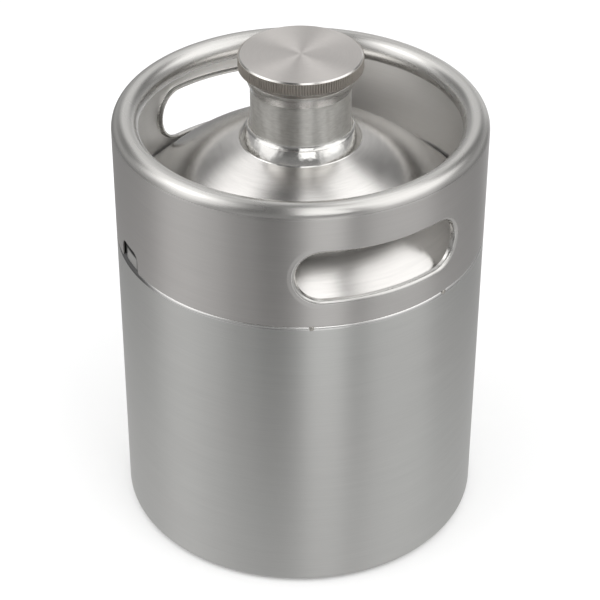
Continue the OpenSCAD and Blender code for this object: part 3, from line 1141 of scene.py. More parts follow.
@dataclass
class Vessel:
    """The keg's lower body: side wall, base pan and shoulder dome.

    Attributes:
        highlight_from: How far above the step's start the joint's finish begins, which is smoother and has
            a painted highlight in its light colour.
        lap_from: How far above the seam the lap's finish begins.
        lap_w: Width of the dome's edge that has the lap's finish.
    """

    sizes: Sizes
    finishes: Finishes
    segments: int = 288
    foot_flange: float = 5 * MM
    pan_rim_w: float = 7 * MM
    pan_bend_r: float = 3 * MM
    pan_slope: float = 50.0
    pan_rise: float = 5 * MM
    highlight_from: float = 0.05 * MM
    lap_from: float = 0.1 * MM
    lap_w: float = 1.2 * MM

    def build(self) -> None:
        """Builds the three pieces."""
        self.build_shell()
        self.build_base()
        self.build_dome()

    def build_shell(self) -> None:
        """Builds the side wall, with its foot turned in and its top stepped in under the collar."""
        s = self.sizes
        out_r, in_r = s.step_r + s.sheet / 2, s.step_r - s.sheet / 2
        lower, upper = (s.body_r - out_r, s.step_z), (s.lap_r + in_r, s.step_z + s.step_h)
        foot = (s.flange_r, s.foot_bend_r)
        toe_r = s.flange_r - self.foot_flange
        turn = s.step_angle
        runs = joined(
            line((toe_r, 0), (s.flange_r, 0)),
            arc(foot, s.foot_bend_r, -90, 0, 12),
            line((s.body_r, s.foot_bend_r), (s.body_r, s.step_z), 24),
            arc(lower, out_r, 0, turn, 8),
            arc(upper, in_r, 180 + turn, 180, 8),
            line((s.lap_r, s.step_z + s.step_h), (s.lap_r, s.lap_top_z)),
            line((s.lap_r, s.lap_top_z), (s.lap_r - s.sheet, s.lap_top_z)),
            line((s.lap_r - s.sheet, s.lap_top_z), (s.lap_r - s.sheet, s.step_z + s.step_h)),
            arc(upper, out_r, 180, 180 + turn, 8),
            arc(lower, in_r, turn, 0, 8),
            arc(foot, s.foot_bend_r - s.sheet, 0, -90, 8),
            line((s.flange_r, s.sheet), (toe_r, s.sheet)),
        )
        shell = revolve(runs, self.segments).to_object("side_wall")
        dress(shell, self.finishes.wall, self.finishes.seam, self.finishes.lap)
        seam, lap = 1, 2
        for face in shell.data.polygons:
            if face.center.z > s.seam_z + self.lap_from:
                face.material_index = lap
            elif face.center.z > s.step_z + self.highlight_from:
                face.material_index = seam
        finish_piece(shell, Body.KEG, "body_steel", "vessel_shell")

    def build_base(self) -> None:
        """Builds the pressed base with its middle pushed up."""
        s = self.sizes
        inner, outer = self.pan_bend_r, self.pan_bend_r + s.sheet
        turn = math.radians(self.pan_slope)
        low = (s.flange_r - self.pan_rim_w, 2 * s.sheet + inner)
        straight = (self.pan_rise - (inner + outer) * (1 - math.cos(turn))) / math.sin(turn)
        high = (low[0] - straight * math.cos(turn) - (inner + outer) * math.sin(turn),
                low[1] + straight * math.sin(turn) - (inner + outer) * math.cos(turn))
        rim_z = s.sheet
        runs = joined(
            line((0, high[1] + inner), (high[0], high[1] + inner)),
            arc(high, inner, 90, 90 - self.pan_slope, 8),
            arc(low, outer, 270 - self.pan_slope, 270, 8),
            line((low[0], rim_z), (s.flange_r, rim_z)),
            line((s.flange_r, rim_z), (s.flange_r, rim_z + s.sheet)),
            line((s.flange_r, rim_z + s.sheet), (low[0], rim_z + s.sheet)),
            arc(low, inner, 270, 270 - self.pan_slope, 8),
            arc(high, outer, 90 - self.pan_slope, 90, 8),
            line((high[0], high[1] + outer), (0, high[1] + outer)),
        )
        base = revolve(runs, self.segments).to_object("base_plate")
        dress(base, self.finishes.base)
        finish_piece(base, Body.KEG, "base_steel", "base_pan")

    def build_dome(self) -> None:
        """Builds the pressed head inside the collar."""
        s = self.sizes
        knuckle = (s.lap_r - s.knuckle_r, s.lap_top_z + s.skirt_h)
        crown = (0.0, s.crown_z)
        turn = 90 - s.cone_angle
        seat = math.degrees(math.acos(s.weld_r / s.crown_r))
        hole_r = s.neck_r + s.neck_gap
        outer_seat = (s.weld_r, s.weld_z)
        hole_z = s.crown_z + math.sqrt(s.crown_r**2 - hole_r**2)
        slope = (hole_z - s.weld_z) / (hole_r - s.weld_r)
        inner_r = s.crown_r - s.sheet
        seat_turn = math.radians(seat)
        under = (inner_r * math.cos(seat_turn), s.crown_z + inner_r * math.sin(seat_turn))
        under_hole = (hole_r, under[1] + slope * (hole_r - under[0]))
        runs = joined(
            line((s.lap_r, s.lap_top_z), (s.lap_r, knuckle[1])),
            arc(knuckle, s.knuckle_r, 0, turn, 12),
            arc(crown, s.crown_r, turn, seat, 24),
            line(outer_seat, (hole_r, hole_z)),
            line((hole_r, hole_z), under_hole),
            line(under_hole, under),
            arc(crown, inner_r, seat, turn, 24),
            arc(knuckle, s.knuckle_r - s.sheet, turn, 0, 8),
            line((s.lap_r - s.sheet, knuckle[1]), (s.lap_r - s.sheet, s.lap_top_z)),
            line((s.lap_r - s.sheet, s.lap_top_z), (s.lap_r, s.lap_top_z)),
        )
        dome = revolve(runs, self.segments).to_object("shoulder")
        dress(dome, self.finishes.dome, self.finishes.lap)
        lap = 1
        for face in dome.data.polygons:
            if math.hypot(face.center.x, face.center.y) > s.lap_r - self.lap_w:
                face.material_index = lap
        finish_piece(dome, Body.KEG, "dome_steel", "shoulder_dome")


@dataclass
class Collar:
    """The handle collar: wall, rolled rim, lipped hand slots and drain slots.

    The wall is a grid of columns and rows, and each slot has a patch of its own in it, whose
    edge is part of the grid.

    Attributes:
        slot_mid: Height of the hand slots' middle line above the seam.
        lip_straight: Width of the straight row of faces next to a lip's bend.
        draw_in: How far the bending has drawn the wall in at a lip.
        draw_w: Width of the wall round a lip that is drawn in.
        drain_foot_r: Radius of the small rounds that lead into a drain slot.
        edge: Radius by which the sheet's edges stand out round.
        polish_w: How far above the rim's start the rim's finish begins. As far above the drain
            slots, bent faces start to count as the hand slots' lips.
        lip_reach: How far inside the wall a face belongs to a lip or to the rim.
        bent_facing: Cosine to the radial direction under which a face counts as bent.
        edge_facing: Cosine to the radial direction under which a face is a cut edge.
    """

    sizes: Sizes
    finishes: Finishes
    height: float = 48 * MM
    curl_r: float = 4.9 * MM
    curl_angle: float = 250.0
    slot_length: float = 66 * MM
    slot_h: float = 20 * MM
    slot_mid: float = 20.3 * MM
    lip_bend_r: float = 1.5 * MM
    lip_bend_parts: int = 8
    lip_depth: float = 2.6 * MM
    lip_straight: float = 0.5 * MM
    draw_in: float = 0.06 * MM
    draw_w: float = 1.5 * MM
    draw_parts: int = 7
    drain_w: float = 14 * MM
    drain_h: float = 8 * MM
    drain_corner_r: float = 3.5 * MM
    drain_foot_r: float = 0.8 * MM
    edge: float = 0.15 * MM
    columns: int = 288
    wall_rows: int = 29
    curl_rows: int = 40
    slot_half_columns: int = 29
    slot_rows: tuple[int, int] = (3, 25)
    slot_blends: int = 4
    drain_half_columns: int = 8
    drain_rows: int = 8
    drain_blends: int = 5
    polish_w: float = 1 * MM
    lip_reach: float = 1.2 * MM
    bent_facing: float = 0.985
    edge_facing: float = 0.9

    def build(self) -> None:
        """Builds the collar as one sheet."""
        self.skin = Sheet(self.sizes.sheet, self.edge)
        self.curl_z = self.sizes.seam_z + self.height - self.curl_r
        self.pitch = TAU * self.sizes.body_r / self.columns
        self.grid: dict[tuple[int, int], int] = {}
        self.build_wall()
        self.build_rim()
        quarter = self.columns // 4
        for middle in (0, 2 * quarter):
            self.build_hand_slot(middle)
        for middle in (quarter, 3 * quarter):
            self.build_drain_slot(middle)
        collar = self.skin.to_mesh().to_object("collar")
        dress(collar, self.finishes.collar, self.finishes.rolled, self.finishes.lit_inner_wall,
              self.finishes.shaded_cut_edge)
        self.mark_faces(collar)
        finish_piece(collar, Body.KEG, "collar_steel", "handle_collar")

    def mark_faces(self, collar: bpy.types.Object) -> None:
        """Gives the rim and the slots' lips their smoother finish, the inside its duller one with a lighter
        colour as painted light, and cut edges a near black colour as painted shade.

        Args:
            collar: The collar, with its four materials.
        """
        s = self.sizes
        rolled, lit_inner_wall, shaded_cut_edge = 1, 2, 3
        above_drain = s.seam_z + self.drain_h + self.polish_w
        for face in collar.data.polygons:
            x, y, z = face.center
            radius = math.hypot(x, y)
            facing_out = (face.normal.x * x + face.normal.y * y) / radius
            on_rim = z > self.curl_z + self.polish_w
            on_lip = radius < s.collar_in_r - self.lip_reach
            on_bend = abs(facing_out) < self.bent_facing and z > above_drain and abs(x) < abs(y)
            if on_rim or on_lip or on_bend:
                face.material_index = rolled
            # Cut edges take the near black painted shade.
            elif abs(facing_out) < self.edge_facing and z > s.seam_z + 2 * self.edge:
                face.material_index = shaded_cut_edge
            elif facing_out < 0:
                face.material_index = lit_inner_wall

    def wall_frame(self, along: float) -> tuple[np.ndarray, np.ndarray]:
        """Directions on the wall.

        Args:
            along: Distance round the wall from -Y, towards +X.

        Returns:
            The radial direction and the direction of growing distance.
        """
        turn = along / self.sizes.body_r
        c, s = math.cos(turn), math.sin(turn)
        return np.array([s, -c, 0]), np.array([c, s, 0])

    def add_on_wall(self, along: float, height: float) -> int:
        """Adds a plain point of the wall."""
        radial, _ = self.wall_frame(along)
        return self.skin.add(radial * self.sizes.body_r + np.array([0, 0, height]), radial)

    def row_z(self, row: int) -> float:
        """Height of a row of the wall's grid."""
        low = self.sizes.seam_z + self.edge
        return low + (self.curl_z - low) * row / self.wall_rows

    def on_grid(self, column: int, row: int) -> int:
        """Finds a point of the wall's grid, which is added when it is first asked for.

        Args:
            column: Column of the grid, from any whole turn.
            row: Row of the grid.

        Returns:
            The number of the point.
        """
        key = (column % self.columns, row)
        if key not in self.grid:
            self.grid[key] = self.add_on_wall(key[0] * self.pitch, self.row_z(row))
        return self.grid[key]

    def in_patch(self, column: int, row: int) -> bool:
        """Tells whether a cell of the grid is left to a slot's own patch.

        Args:
            column: Column at the cell's left side.
            row: Row at its lower side.

        Returns:
            True for a cell inside the patch of a hand slot or a drain slot.
        """
        quarter = self.columns // 4

        def near(first: int, half: int) -> bool:
            """Tells whether the cell is within half a patch of a column or of the one opposite."""
            away = [(column - first - turn) % self.columns for turn in (0, 2 * quarter)]
            return min(*away, *(self.columns - 1 - count for count in away)) < half

        if near(0, self.slot_half_columns) and self.slot_rows[0] <= row < self.slot_rows[1]:
            return True
        return near(quarter, self.drain_half_columns) and row < self.drain_rows

    def build_wall(self) -> None:
        """Fills the wall with faces wherever no slot has its patch."""
        for row in range(self.wall_rows):
            for column in range(self.columns):
                if not self.in_patch(column, row):
                    self.skin.quads.append((
                        self.on_grid(column, row), self.on_grid(column + 1, row),
                        self.on_grid(column + 1, row + 1), self.on_grid(column, row + 1)))

    def build_rim(self) -> None:
        """Rolls the top of the wall inwards and down."""
        centre_r = self.sizes.body_r - self.curl_r
        below = [self.on_grid(column, self.wall_rows) for column in range(self.columns)]
        for step in range(1, self.curl_rows + 1):
            angle = math.radians(self.curl_angle * step / self.curl_rows)
            ring = []
            for column in range(self.columns):
                radial, _ = self.wall_frame(column * self.pitch)
                normal = radial * math.cos(angle) + np.array([0, 0, math.sin(angle)])
                centre = radial * centre_r + np.array([0, 0, self.curl_z])
                ring.append(self.skin.add(centre + self.curl_r * normal, normal))
            self.skin.strip(below, ring, closed=True)
            below = ring

    def slot_places(self) -> list[tuple[float, float]]:
        """Places round a hand slot's outline, matched to the edge of its patch.

        Returns:
            The place along the slot's middle line and the outward angle, counterclockwise
            from the lower left corner of the patch.
        """
        round_r, half_run = self.slot_h / 2, (self.slot_length - self.slot_h) / 2
        eighth = round_r * math.pi / 4
        wide, tall = 2 * self.slot_half_columns, self.slot_rows[1] - self.slot_rows[0]
        places = []
        for side, first in ((1, 225.0), (-1, 45.0)):
            for i in range(wide):
                way = 2 * (eighth + half_run) * i / wide
                past = way - eighth - 2 * half_run
                if way < eighth:
                    places.append((-side * half_run, first + math.degrees(way / round_r)))
                elif past < 0:
                    places.append((side * (way - eighth - half_run), first + 45))
                else:
                    places.append((side * half_run, first + 45 + math.degrees(past / round_r)))
            places.extend((side * half_run, first + 90 + 90 * i / tall) for i in range(tall))
        return places

    def lip_section(self) -> list[tuple[float, float, float, float]]:
        """Section of the lip from its inner end out to the plain wall.

        Returns:
            For each point the distance out from the clear slot, the depth below the wall's
            face, and the normal's parts outward along the wall and out of the wall.
        """
        bend, sunk = self.lip_bend_r, self.draw_in
        section = [(0.0, depth, -1.0, 0.0) for depth in (
            self.lip_depth - self.edge, bend + sunk + self.lip_straight)]
        for angle in np.linspace(0, math.pi / 2, self.lip_bend_parts + 1):
            lean_out, lean_up = -math.cos(angle), math.sin(angle)
            section.append((bend * (1 + lean_out), sunk + bend * (1 - lean_up), lean_out, lean_up))
        for step in range(1, self.draw_parts + 1):
            share = step / self.draw_parts
            fade = share * share * (3 - 2 * share)
            slope = sunk * 6 * share * (1 - share) / self.draw_w
            section.append((bend + self.draw_w * share, sunk * (1 - fade), -slope, 1.0))
        return section

    def build_hand_slot(self, middle: int) -> None:
        """Builds a hand slot's lip and the patch of wall round it.

        Args:
            middle: Column of the grid at the slot's middle.
        """
        low_row, high_row = self.slot_rows
        half = self.slot_half_columns
        border = [(middle + c, low_row) for c in range(-half, half)]
        border += [(middle + half, r) for r in range(low_row, high_row)]
        border += [(middle + c, high_row) for c in range(half, -half, -1)]
        border += [(middle - half, r) for r in range(high_row, low_row, -1)]
        places = self.slot_places()
        slot_z = self.sizes.seam_z + self.slot_mid
        rings: list[list[int]] = []
        for out, depth, lean_out, lean_up in self.lip_section():
            ring = []
            for place, angle in places:
                reach = self.slot_h / 2 + out
                side, rise = math.cos(math.radians(angle)), math.sin(math.radians(angle))
                along = middle * self.pitch + place + side * reach
                radial, tangent = self.wall_frame(along)
                outward = tangent * side + np.array([0, 0, rise])
                point = radial * (self.sizes.body_r - depth) + np.array([0, 0, slot_z + rise * reach])
                ring.append(self.skin.add(point, outward * lean_out + radial * lean_up))
            rings.append(ring)
        reach = self.slot_h / 2 + self.lip_bend_r + self.draw_w
        for step in range(1, self.slot_blends):
            share = step / self.slot_blends
            ring = []
            for (place, angle), (column, row) in zip(places, border):
                near = np.array([middle * self.pitch + place + math.cos(math.radians(angle)) * reach,
                                 slot_z + math.sin(math.radians(angle)) * reach])
                far = np.array([column * self.pitch, self.row_z(row)])
                ring.append(self.add_on_wall(*(near + (far - near) * share)))
            rings.append(ring)
        rings.append([self.on_grid(column, row) for column, row in border])
        for inner, outer in zip(rings, rings[1:]):
            self.skin.strip(outer, inner, closed=True)

    def drain_outline(self) -> list[tuple[float, float]]:
        """Outline of a drain slot, matched to the edge of its patch.

        Returns:
            Points as (distance from the slot's middle, height), from its lower left end, where a
            small round leads out of the collar's edge, over its top to its lower right end.
        """
        foot_parts, side_parts, corner_parts, top_parts = 3, 3, 6, 4
        low, half = self.sizes.seam_z + self.edge, self.drain_w / 2
        foot, round_r = self.drain_foot_r, self.drain_corner_r
        top = self.sizes.seam_z + self.drain_h
        side_low, side_h = low + foot, top - round_r - low - foot
        left = [(-half - foot + foot * math.sin(angle), side_low - foot * math.cos(angle))
                for angle in np.linspace(0, math.pi / 2, foot_parts + 1)]
        left += [(-half, side_low + side_h * i / side_parts) for i in range(1, side_parts)]
        left += [(round_r - half - round_r * math.cos(angle), top - round_r + round_r * math.sin(angle))
                 for angle in np.linspace(0, math.pi / 2, corner_parts + 1)]
        left += [((round_r - half) * (1 - i / top_parts), top) for i in range(1, top_parts)]
        return left + [(0.0, top)] + [(-x, z) for x, z in reversed(left)]

    def build_drain_slot(self, middle: int) -> None:
        """Builds the patch of wall round a drain slot.

        Args:
            middle: Column of the grid at the slot's middle.
        """
        half, rows = self.drain_half_columns, self.drain_rows
        border = [(middle - half, r) for r in range(rows)]
        border += [(middle + c, rows) for c in range(-half, half)]
        border += [(middle + half, r) for r in range(rows, -1, -1)]
        outline = np.array(self.drain_outline())
        patch = np.array([((column - middle) * self.pitch, self.row_z(row)) for column, row in border])
        rings: list[list[int]] = []
        start = middle * self.pitch
        for step in range(self.drain_blends):
            blend = outline + (patch - outline) * step / self.drain_blends
            rings.append([self.add_on_wall(start + aside, height) for aside, height in blend])
        rings.append([self.on_grid(column, row) for column, row in border])
        for inner, outer in zip(rings, rings[1:]):
            self.skin.strip(inner, outer)


@dataclass
class Tacks:
    """The tack welds that hold the collar, in a pair below each hand slot.

    Attributes:
        spread: Degrees between the two beads of a pair.
        height: Height of a bead over its middle, before its skin is made uneven.
        sunk: How far a bead's middle lies behind the wall's face.
        smallest: Size of the smallest bead, as a share of the largest.
        lump_h: Range of the skin's lumps, from the deepest to the highest.
        lump_level: Level of the noise at which the skin stays where it is.
    """

    sizes: Sizes
    finishes: Finishes
    pairs: int = 2
    spread: float = 45.0
    width: float = 2.2 * MM
    height: float = 0.53 * MM
    sunk: float = 0.15 * MM
    smallest: float = 0.8
    size_seed: int = 5
    lumps_per_metre: float = 1600.0
    lump_h: float = 0.22 * MM
    lump_level: float = 0.6

    def build(self) -> None:
        """Sets the beads round the seam, as a rule that repeats one uneven bead."""
        rule = Rule("tack_rule")
        count = rule.count("Tacks", 2 * self.pairs)
        radius = rule.size("Radius", self.sizes.body_r - self.sunk)
        height = rule.size("Height", (self.sizes.step_z + self.sizes.seam_z) / 2)
        spread = rule.size("Spread", math.radians(self.spread))
        thick = rule.size("Bead height", self.height)
        half = rule.size("Half width", self.width / 2)
        drop = rule.add("GeometryNodeMeshIcoSphere", {"Radius": 1.0, "Subdivisions": 5})
        bead = rule.add("GeometryNodeTransform", {
            "Geometry": drop.outputs["Mesh"], "Scale": rule.vector(thick, half, half)})
        spots = rule.add("GeometryNodePoints", {"Count": count})
        index = rule.add("GeometryNodeInputIndex", {}).outputs[0]
        side = rule.math("SUBTRACT", rule.math("MODULO", index, 2.0), 0.5)
        pair = rule.math("FLOOR", rule.math("DIVIDE", index, 2.0))
        turn = rule.math("ADD", rule.math("MULTIPLY", side, spread),
                         rule.math("MULTIPLY_ADD", pair, TAU / self.pairs, -math.pi / 2))
        place = rule.vector(rule.math("MULTIPLY", radius, rule.math("COSINE", turn)),
                            rule.math("MULTIPLY", radius, rule.math("SINE", turn)), height)
        placed = rule.add("GeometryNodeSetPosition", {"Geometry": spots.outputs[0], "Position": place})
        size = rule.random(self.smallest, 1.0, self.size_seed)
        beads = rule.add("GeometryNodeInstanceOnPoints", {
            "Points": placed.outputs[0], "Instance": bead.outputs[0],
            "Rotation": rule.vector(0.0, 0.0, turn), "Scale": rule.vector(1.0, size, size)})
        real = rule.add("GeometryNodeRealizeInstances", {"Geometry": beads.outputs[0]})
        noise = rule.add("ShaderNodeTexNoise", {"Scale": self.lumps_per_metre, "Detail": 2.0})
        uneven = rule.math("SUBTRACT", noise.outputs[0], self.lump_level)
        swell = rule.math("MULTIPLY", uneven, self.lump_h)
        facing = rule.add("GeometryNodeInputNormal", {}).outputs[0]
        push = rule.add("ShaderNodeVectorMath", {"Vector": facing, "Scale": swell}, operation="SCALE")
        skin = rule.add("GeometryNodeSetPosition", {
            "Geometry": real.outputs[0], "Offset": push.outputs[0]})
        tacks = rule.to_object("tack_beads", skin.outputs[0], self.finishes.tack)
        finish_piece(tacks, Body.KEG, "weld_steel", "tack_welds")


@dataclass
class Neck:
    """The turned neck, its dressed weld and its inside thread.

    Attributes:
        lip_band_h: Height of the lip's upright band, with its bevel.
        flare_h: Height of the flare under that band.
        flare_hollow_r: Radius of the hollow where the flare starts.
        band_foot_h: Height of the weld's sloping band over the dome, at its lower edge.
        band_bulge: Half of the angle that the slightly round band turns through, in degrees.
        brushed_from: How far above the band's upper edge the neck's finish begins.
        lip_from: How far above the flare's start the lip's finish begins.
        edge_share: Height of the top's bright edge, as a share of the bevel.
    """

    sizes: Sizes
    finishes: Finishes
    segments: int = 192
    bore_r: float = 16.6 * MM
    bevel: float = 0.7 * MM
    lip_band_h: float = 1.9 * MM
    flare_h: float = 4.2 * MM
    flare_hollow_r: float = 4 * MM
    flare_round_r: float = 1.2 * MM
    foot_round_r: float = 0.3 * MM
    bevel_round_r: float = 0.2 * MM
    toe_r: float = 0.9 * MM
    band_foot_h: float = 0.3 * MM
    band_w: float = 2.5 * MM
    band_h: float = 4.2 * MM
    band_bulge: float = 8.0
    fillet_r: float = 2.6 * MM
    brushed_from: float = 1.5 * MM
    lip_from: float = 0.7 * MM
    edge_share: float = 1.1
    thread_turns: float = 3.2

    def build(self) -> None:
        """Builds the neck, its inside thread and the weld."""
        self.build_neck()
        self.build_thread()
        self.build_weld()

    def build_neck(self) -> None:
        """Builds the neck as a turned ring."""
        s = self.sizes
        foot_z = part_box("neck_ring")[0].z
        top = s.mouth_z
        flare_top, flare_foot = top - self.lip_band_h, top - self.lip_band_h - self.flare_h
        b = self.bevel
        foot_r, edge_r = self.foot_round_r, self.bevel_round_r
        shape = [
            (self.bore_r, foot_z, foot_r), (s.neck_r, foot_z, foot_r),
            (s.neck_r, flare_foot, self.flare_hollow_r), (s.lip_r, flare_top, self.flare_round_r),
            (s.lip_r, top - b, edge_r), (s.lip_r - b, top, edge_r),
            (self.bore_r + b, top, edge_r), (self.bore_r, top - b, edge_r),
        ]
        neck = revolve(rounded(shape, parts=5), self.segments).to_object("neck")
        dress(neck, self.finishes.neck, self.finishes.lip, self.finishes.turned_edge)
        lip, turned_edge = 1, 2
        for face in neck.data.polygons:
            if face.center.z > top - b * self.edge_share:
                face.material_index = turned_edge
            elif face.center.z > flare_foot + self.lip_from:
                face.material_index = lip
        finish_piece(neck, Body.KEG, "neck_steel", "neck_ring")

    def build_thread(self) -> None:
        """Winds the inside thread in the bore, half a pitch away from the cap's."""
        s = self.sizes
        start_z = s.mouth_z - s.thread_start + s.thread_pitch / 2
        thread = Thread(self.bore_r + s.thread_sunk, s.thread_depth, start_z, s.thread_pitch,
                        self.thread_turns, outward=False).build("neck_thread", self.finishes.neck)
        finish_piece(thread, Body.KEG, "neck_steel")

    def build_weld(self) -> None:
        """Builds the polished weld: a hollow toe, a sloping band and a hollow fillet."""
        s = self.sizes
        low = np.array([s.weld_r, s.weld_z + self.band_foot_h])
        crease = low + np.array([-self.band_w, self.band_h])
        slope = math.degrees(math.atan2(self.band_w, self.band_h))
        band_r = math.hypot(self.band_w, self.band_h) / 2 / math.sin(math.radians(self.band_bulge))
        first = math.radians(slope - self.band_bulge)
        facing = np.array([math.cos(first), math.sin(first)])
        band = low - band_r * facing
        toe = low + self.toe_r * facing
        toe_turn = 180 + math.degrees(math.atan2(toe[1] - s.crown_z, toe[0]))
        fillet_side = crease[0] - s.neck_r - self.fillet_r
        fillet_end = 180 + math.degrees(math.acos(-fillet_side / self.fillet_r))
        fillet_z = crease[1] - self.fillet_r * math.sin(math.radians(fillet_end))
        runs = joined(
            arc(tuple(toe), self.toe_r, toe_turn, 180 + slope - self.band_bulge, 8),
            arc(tuple(band), band_r, slope - self.band_bulge, slope + self.band_bulge, 10),
            arc((s.neck_r + self.fillet_r, fillet_z), self.fillet_r, fillet_end, 180, 12),
            line((s.neck_r, fillet_z), (s.neck_r, s.weld_z)),
        )
        weld = revolve(runs, self.segments).to_object("weld_ring")
        dress(weld, self.finishes.bead, self.finishes.neck)
        brushed = 1
        for face in weld.data.polygons:
            if face.center.z > crease[1] + self.brushed_from:
                face.material_index = brushed
        finish_piece(weld, Body.KEG, "polished_steel", "neck_weld")


@dataclass
class Cap:
    """The screw cap and the silicone ring under its head.

    Attributes:
        gap: Room above and below the ring.
        overhang: How far the head stands out past the neck's lip.
        knurl_ledge: Room in the knurl's depth besides its ribs, half of it under their roots.
        crown_wall: Thickness of metal between the plug's hollow and the head's top.
        edge_share: Width of the head's bright edge, as a share of the bevel.
        level_within: Faces this close to the head's top are part of its flat.
        rib_share: Half of a rib's width, as a share of the distance between ribs.
    """

    sizes: Sizes
    finishes: Finishes
    segments: int = 192
    gap: float = 0.05 * MM
    gasket_t: float = 1.5 * MM
    head_t: float = 5.2 * MM
    overhang: float = 2.9 * MM
    bevel: float = 0.5 * MM
    knurl_teeth: int = 142
    knurl_depth: float = 0.3 * MM
    knurl_ledge: float = 0.1 * MM
    plug_r: float = 15.1 * MM
    plug_h: float = 10 * MM
    plug_wall: float = 3.1 * MM
    crown_wall: float = 7 * MM
    plug_bevel: float = 1 * MM
    recess_round_r: float = 0.4 * MM
    plug_round_r: float = 0.2 * MM
    head_round_r: float = 0.1 * MM
    top_round_r: float = 0.12 * MM
    seal_room: float = 0.3 * MM
    seal_round_r: float = 0.25 * MM
    seal_segments: int = 128
    edge_share: float = 1.3
    level_within: float = 0.001 * MM
    rib_share: float = 0.47
    thread_turns: float = 3.4

    def build(self) -> None:
        """Builds the cap and the gasket."""
        self.gasket_z = self.sizes.mouth_z + self.gap
        self.head_z = self.gasket_z + self.gasket_t + self.gap
        self.top_z = self.head_z + self.head_t
        self.head_r = self.sizes.lip_r + self.overhang
        self.disc_r = self.head_r - self.knurl_depth - self.knurl_ledge
        self.build_gasket()
        self.build_body()
        self.build_knurl()
        self.build_thread()

    def build_gasket(self) -> None:
        """Builds the silicone ring with soft edges."""
        low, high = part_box("cap_gasket")
        inner, outer = self.plug_r + self.seal_room, high.x
        corners = [(inner, low.z), (outer, low.z), (outer, high.z), (inner, high.z)]
        shape = [(*at, self.seal_round_r) for at in corners]
        ring = revolve(rounded(shape, parts=4), self.seal_segments).to_object("seal")
        dress(ring, self.finishes.silicone)
        finish_piece(ring, Body.GASKET, "silicone", "cap_gasket")

    def build_body(self) -> None:
        """Builds the turned body of the cap, without the knurl's teeth."""
        disc_r = self.disc_r
        recess_r, recess_z = self.plug_r - self.plug_wall, self.top_z - self.crown_wall
        foot_z = self.sizes.mouth_z - self.plug_h
        b = self.bevel
        plug_r, edge_r = self.plug_round_r, self.head_round_r
        shape = [
            (recess_r, recess_z, self.recess_round_r), (recess_r, foot_z, plug_r),
            (self.plug_r - self.plug_bevel, foot_z, plug_r),
            (self.plug_r, foot_z + self.plug_bevel, plug_r),
            (self.plug_r, self.head_z, plug_r), (disc_r - b, self.head_z, edge_r),
            (disc_r, self.head_z + b, edge_r), (disc_r, self.top_z - b, edge_r),
            (disc_r - b, self.top_z, self.top_round_r),
        ]
        places = [(0.0, recess_z), *(at[:2] for at in shape), (0.0, self.top_z)]
        runs = [line(places[0], (recess_r / 2, recess_z))]
        for i, (_, _, radius) in enumerate(shape):
            runs.append(corner(places[i], places[i + 1], places[i + 2], radius, parts=4))
        runs.append(line((disc_r / 2, self.top_z), places[-1]))
        body = revolve(joined(*runs), self.segments).to_object("cap_body")
        dress(body, self.finishes.cap, self.finishes.turned_edge)
        turned_edge = 1
        for face in body.data.polygons:
            x, y, z = face.center
            on_bevel = self.top_z - b < z < self.top_z - self.level_within
            if on_bevel and math.hypot(x, y) > disc_r - b * self.edge_share:
                face.material_index = turned_edge
        finish_piece(body, Body.CAP, "cap_steel", "screw_cap")

    def build_knurl(self) -> None:
        """Sets the knurl's teeth round the head, as a rule that repeats one rounded rib."""
        rule = Rule("knurl_rule")
        teeth = rule.count("Teeth", self.knurl_teeth)
        radius = rule.size("Root radius", self.disc_r + self.knurl_ledge / 2)
        height = rule.size("Tooth height", self.head_t - 2 * self.bevel)
        middle = rule.size("Middle height", self.head_z + self.head_t / 2)
        proud = rule.size("Tooth depth", self.knurl_depth)
        half = rule.size("Half width", self.rib_share * TAU * self.head_r / self.knurl_teeth)
        rod = rule.add("GeometryNodeMeshCylinder", {"Vertices": 10, "Radius": 1.0, "Depth": 1.0})
        rib = rule.add("GeometryNodeTransform", {
            "Geometry": rod.outputs["Mesh"], "Scale": rule.vector(proud, half, height)})
        ring = rule.add("GeometryNodeMeshCircle", {"Vertices": teeth, "Radius": radius})
        turn = rule.math("MULTIPLY", rule.add("GeometryNodeInputIndex", {}).outputs[0],
                         rule.math("DIVIDE", TAU, teeth))
        ribs = rule.add("GeometryNodeInstanceOnPoints", {
            "Points": ring.outputs["Mesh"], "Instance": rib.outputs[0],
            "Rotation": rule.vector(0.0, 0.0, turn)})
        placed = rule.add("GeometryNodeTransform", {
            "Geometry": ribs.outputs[0], "Translation": rule.vector(0.0, 0.0, middle)})
        knurl = rule.to_object("cap_knurl", placed.outputs[0], self.finishes.knurl)
        finish_piece(knurl, Body.CAP, "cap_steel")

    def build_thread(self) -> None:
        """Winds the outside thread round the plug."""
        s = self.sizes
        start_z = s.mouth_z - s.thread_start
        thread = Thread(self.plug_r - s.thread_sunk, s.thread_depth, start_z, s.thread_pitch,
                        self.thread_turns, outward=True).build("cap_thread", self.finishes.cap)
        finish_piece(thread, Body.CAP, "cap_steel")


# Studio


@dataclass(frozen=True)
class Panel:
    """A soft-edged panel or flag of the studio, in degrees seen from the keg.

    Attributes:
        side: Where its middle is, to the right of the camera.
        rise: Where its middle is, above level.
        edge: Width of its soft edge, outside its plain part.
        level: Brightness that it adds, or takes away where it is below zero.
    """

    side: float
    half_width: float
    rise: float
    half_height: float
    edge: float
    level: float


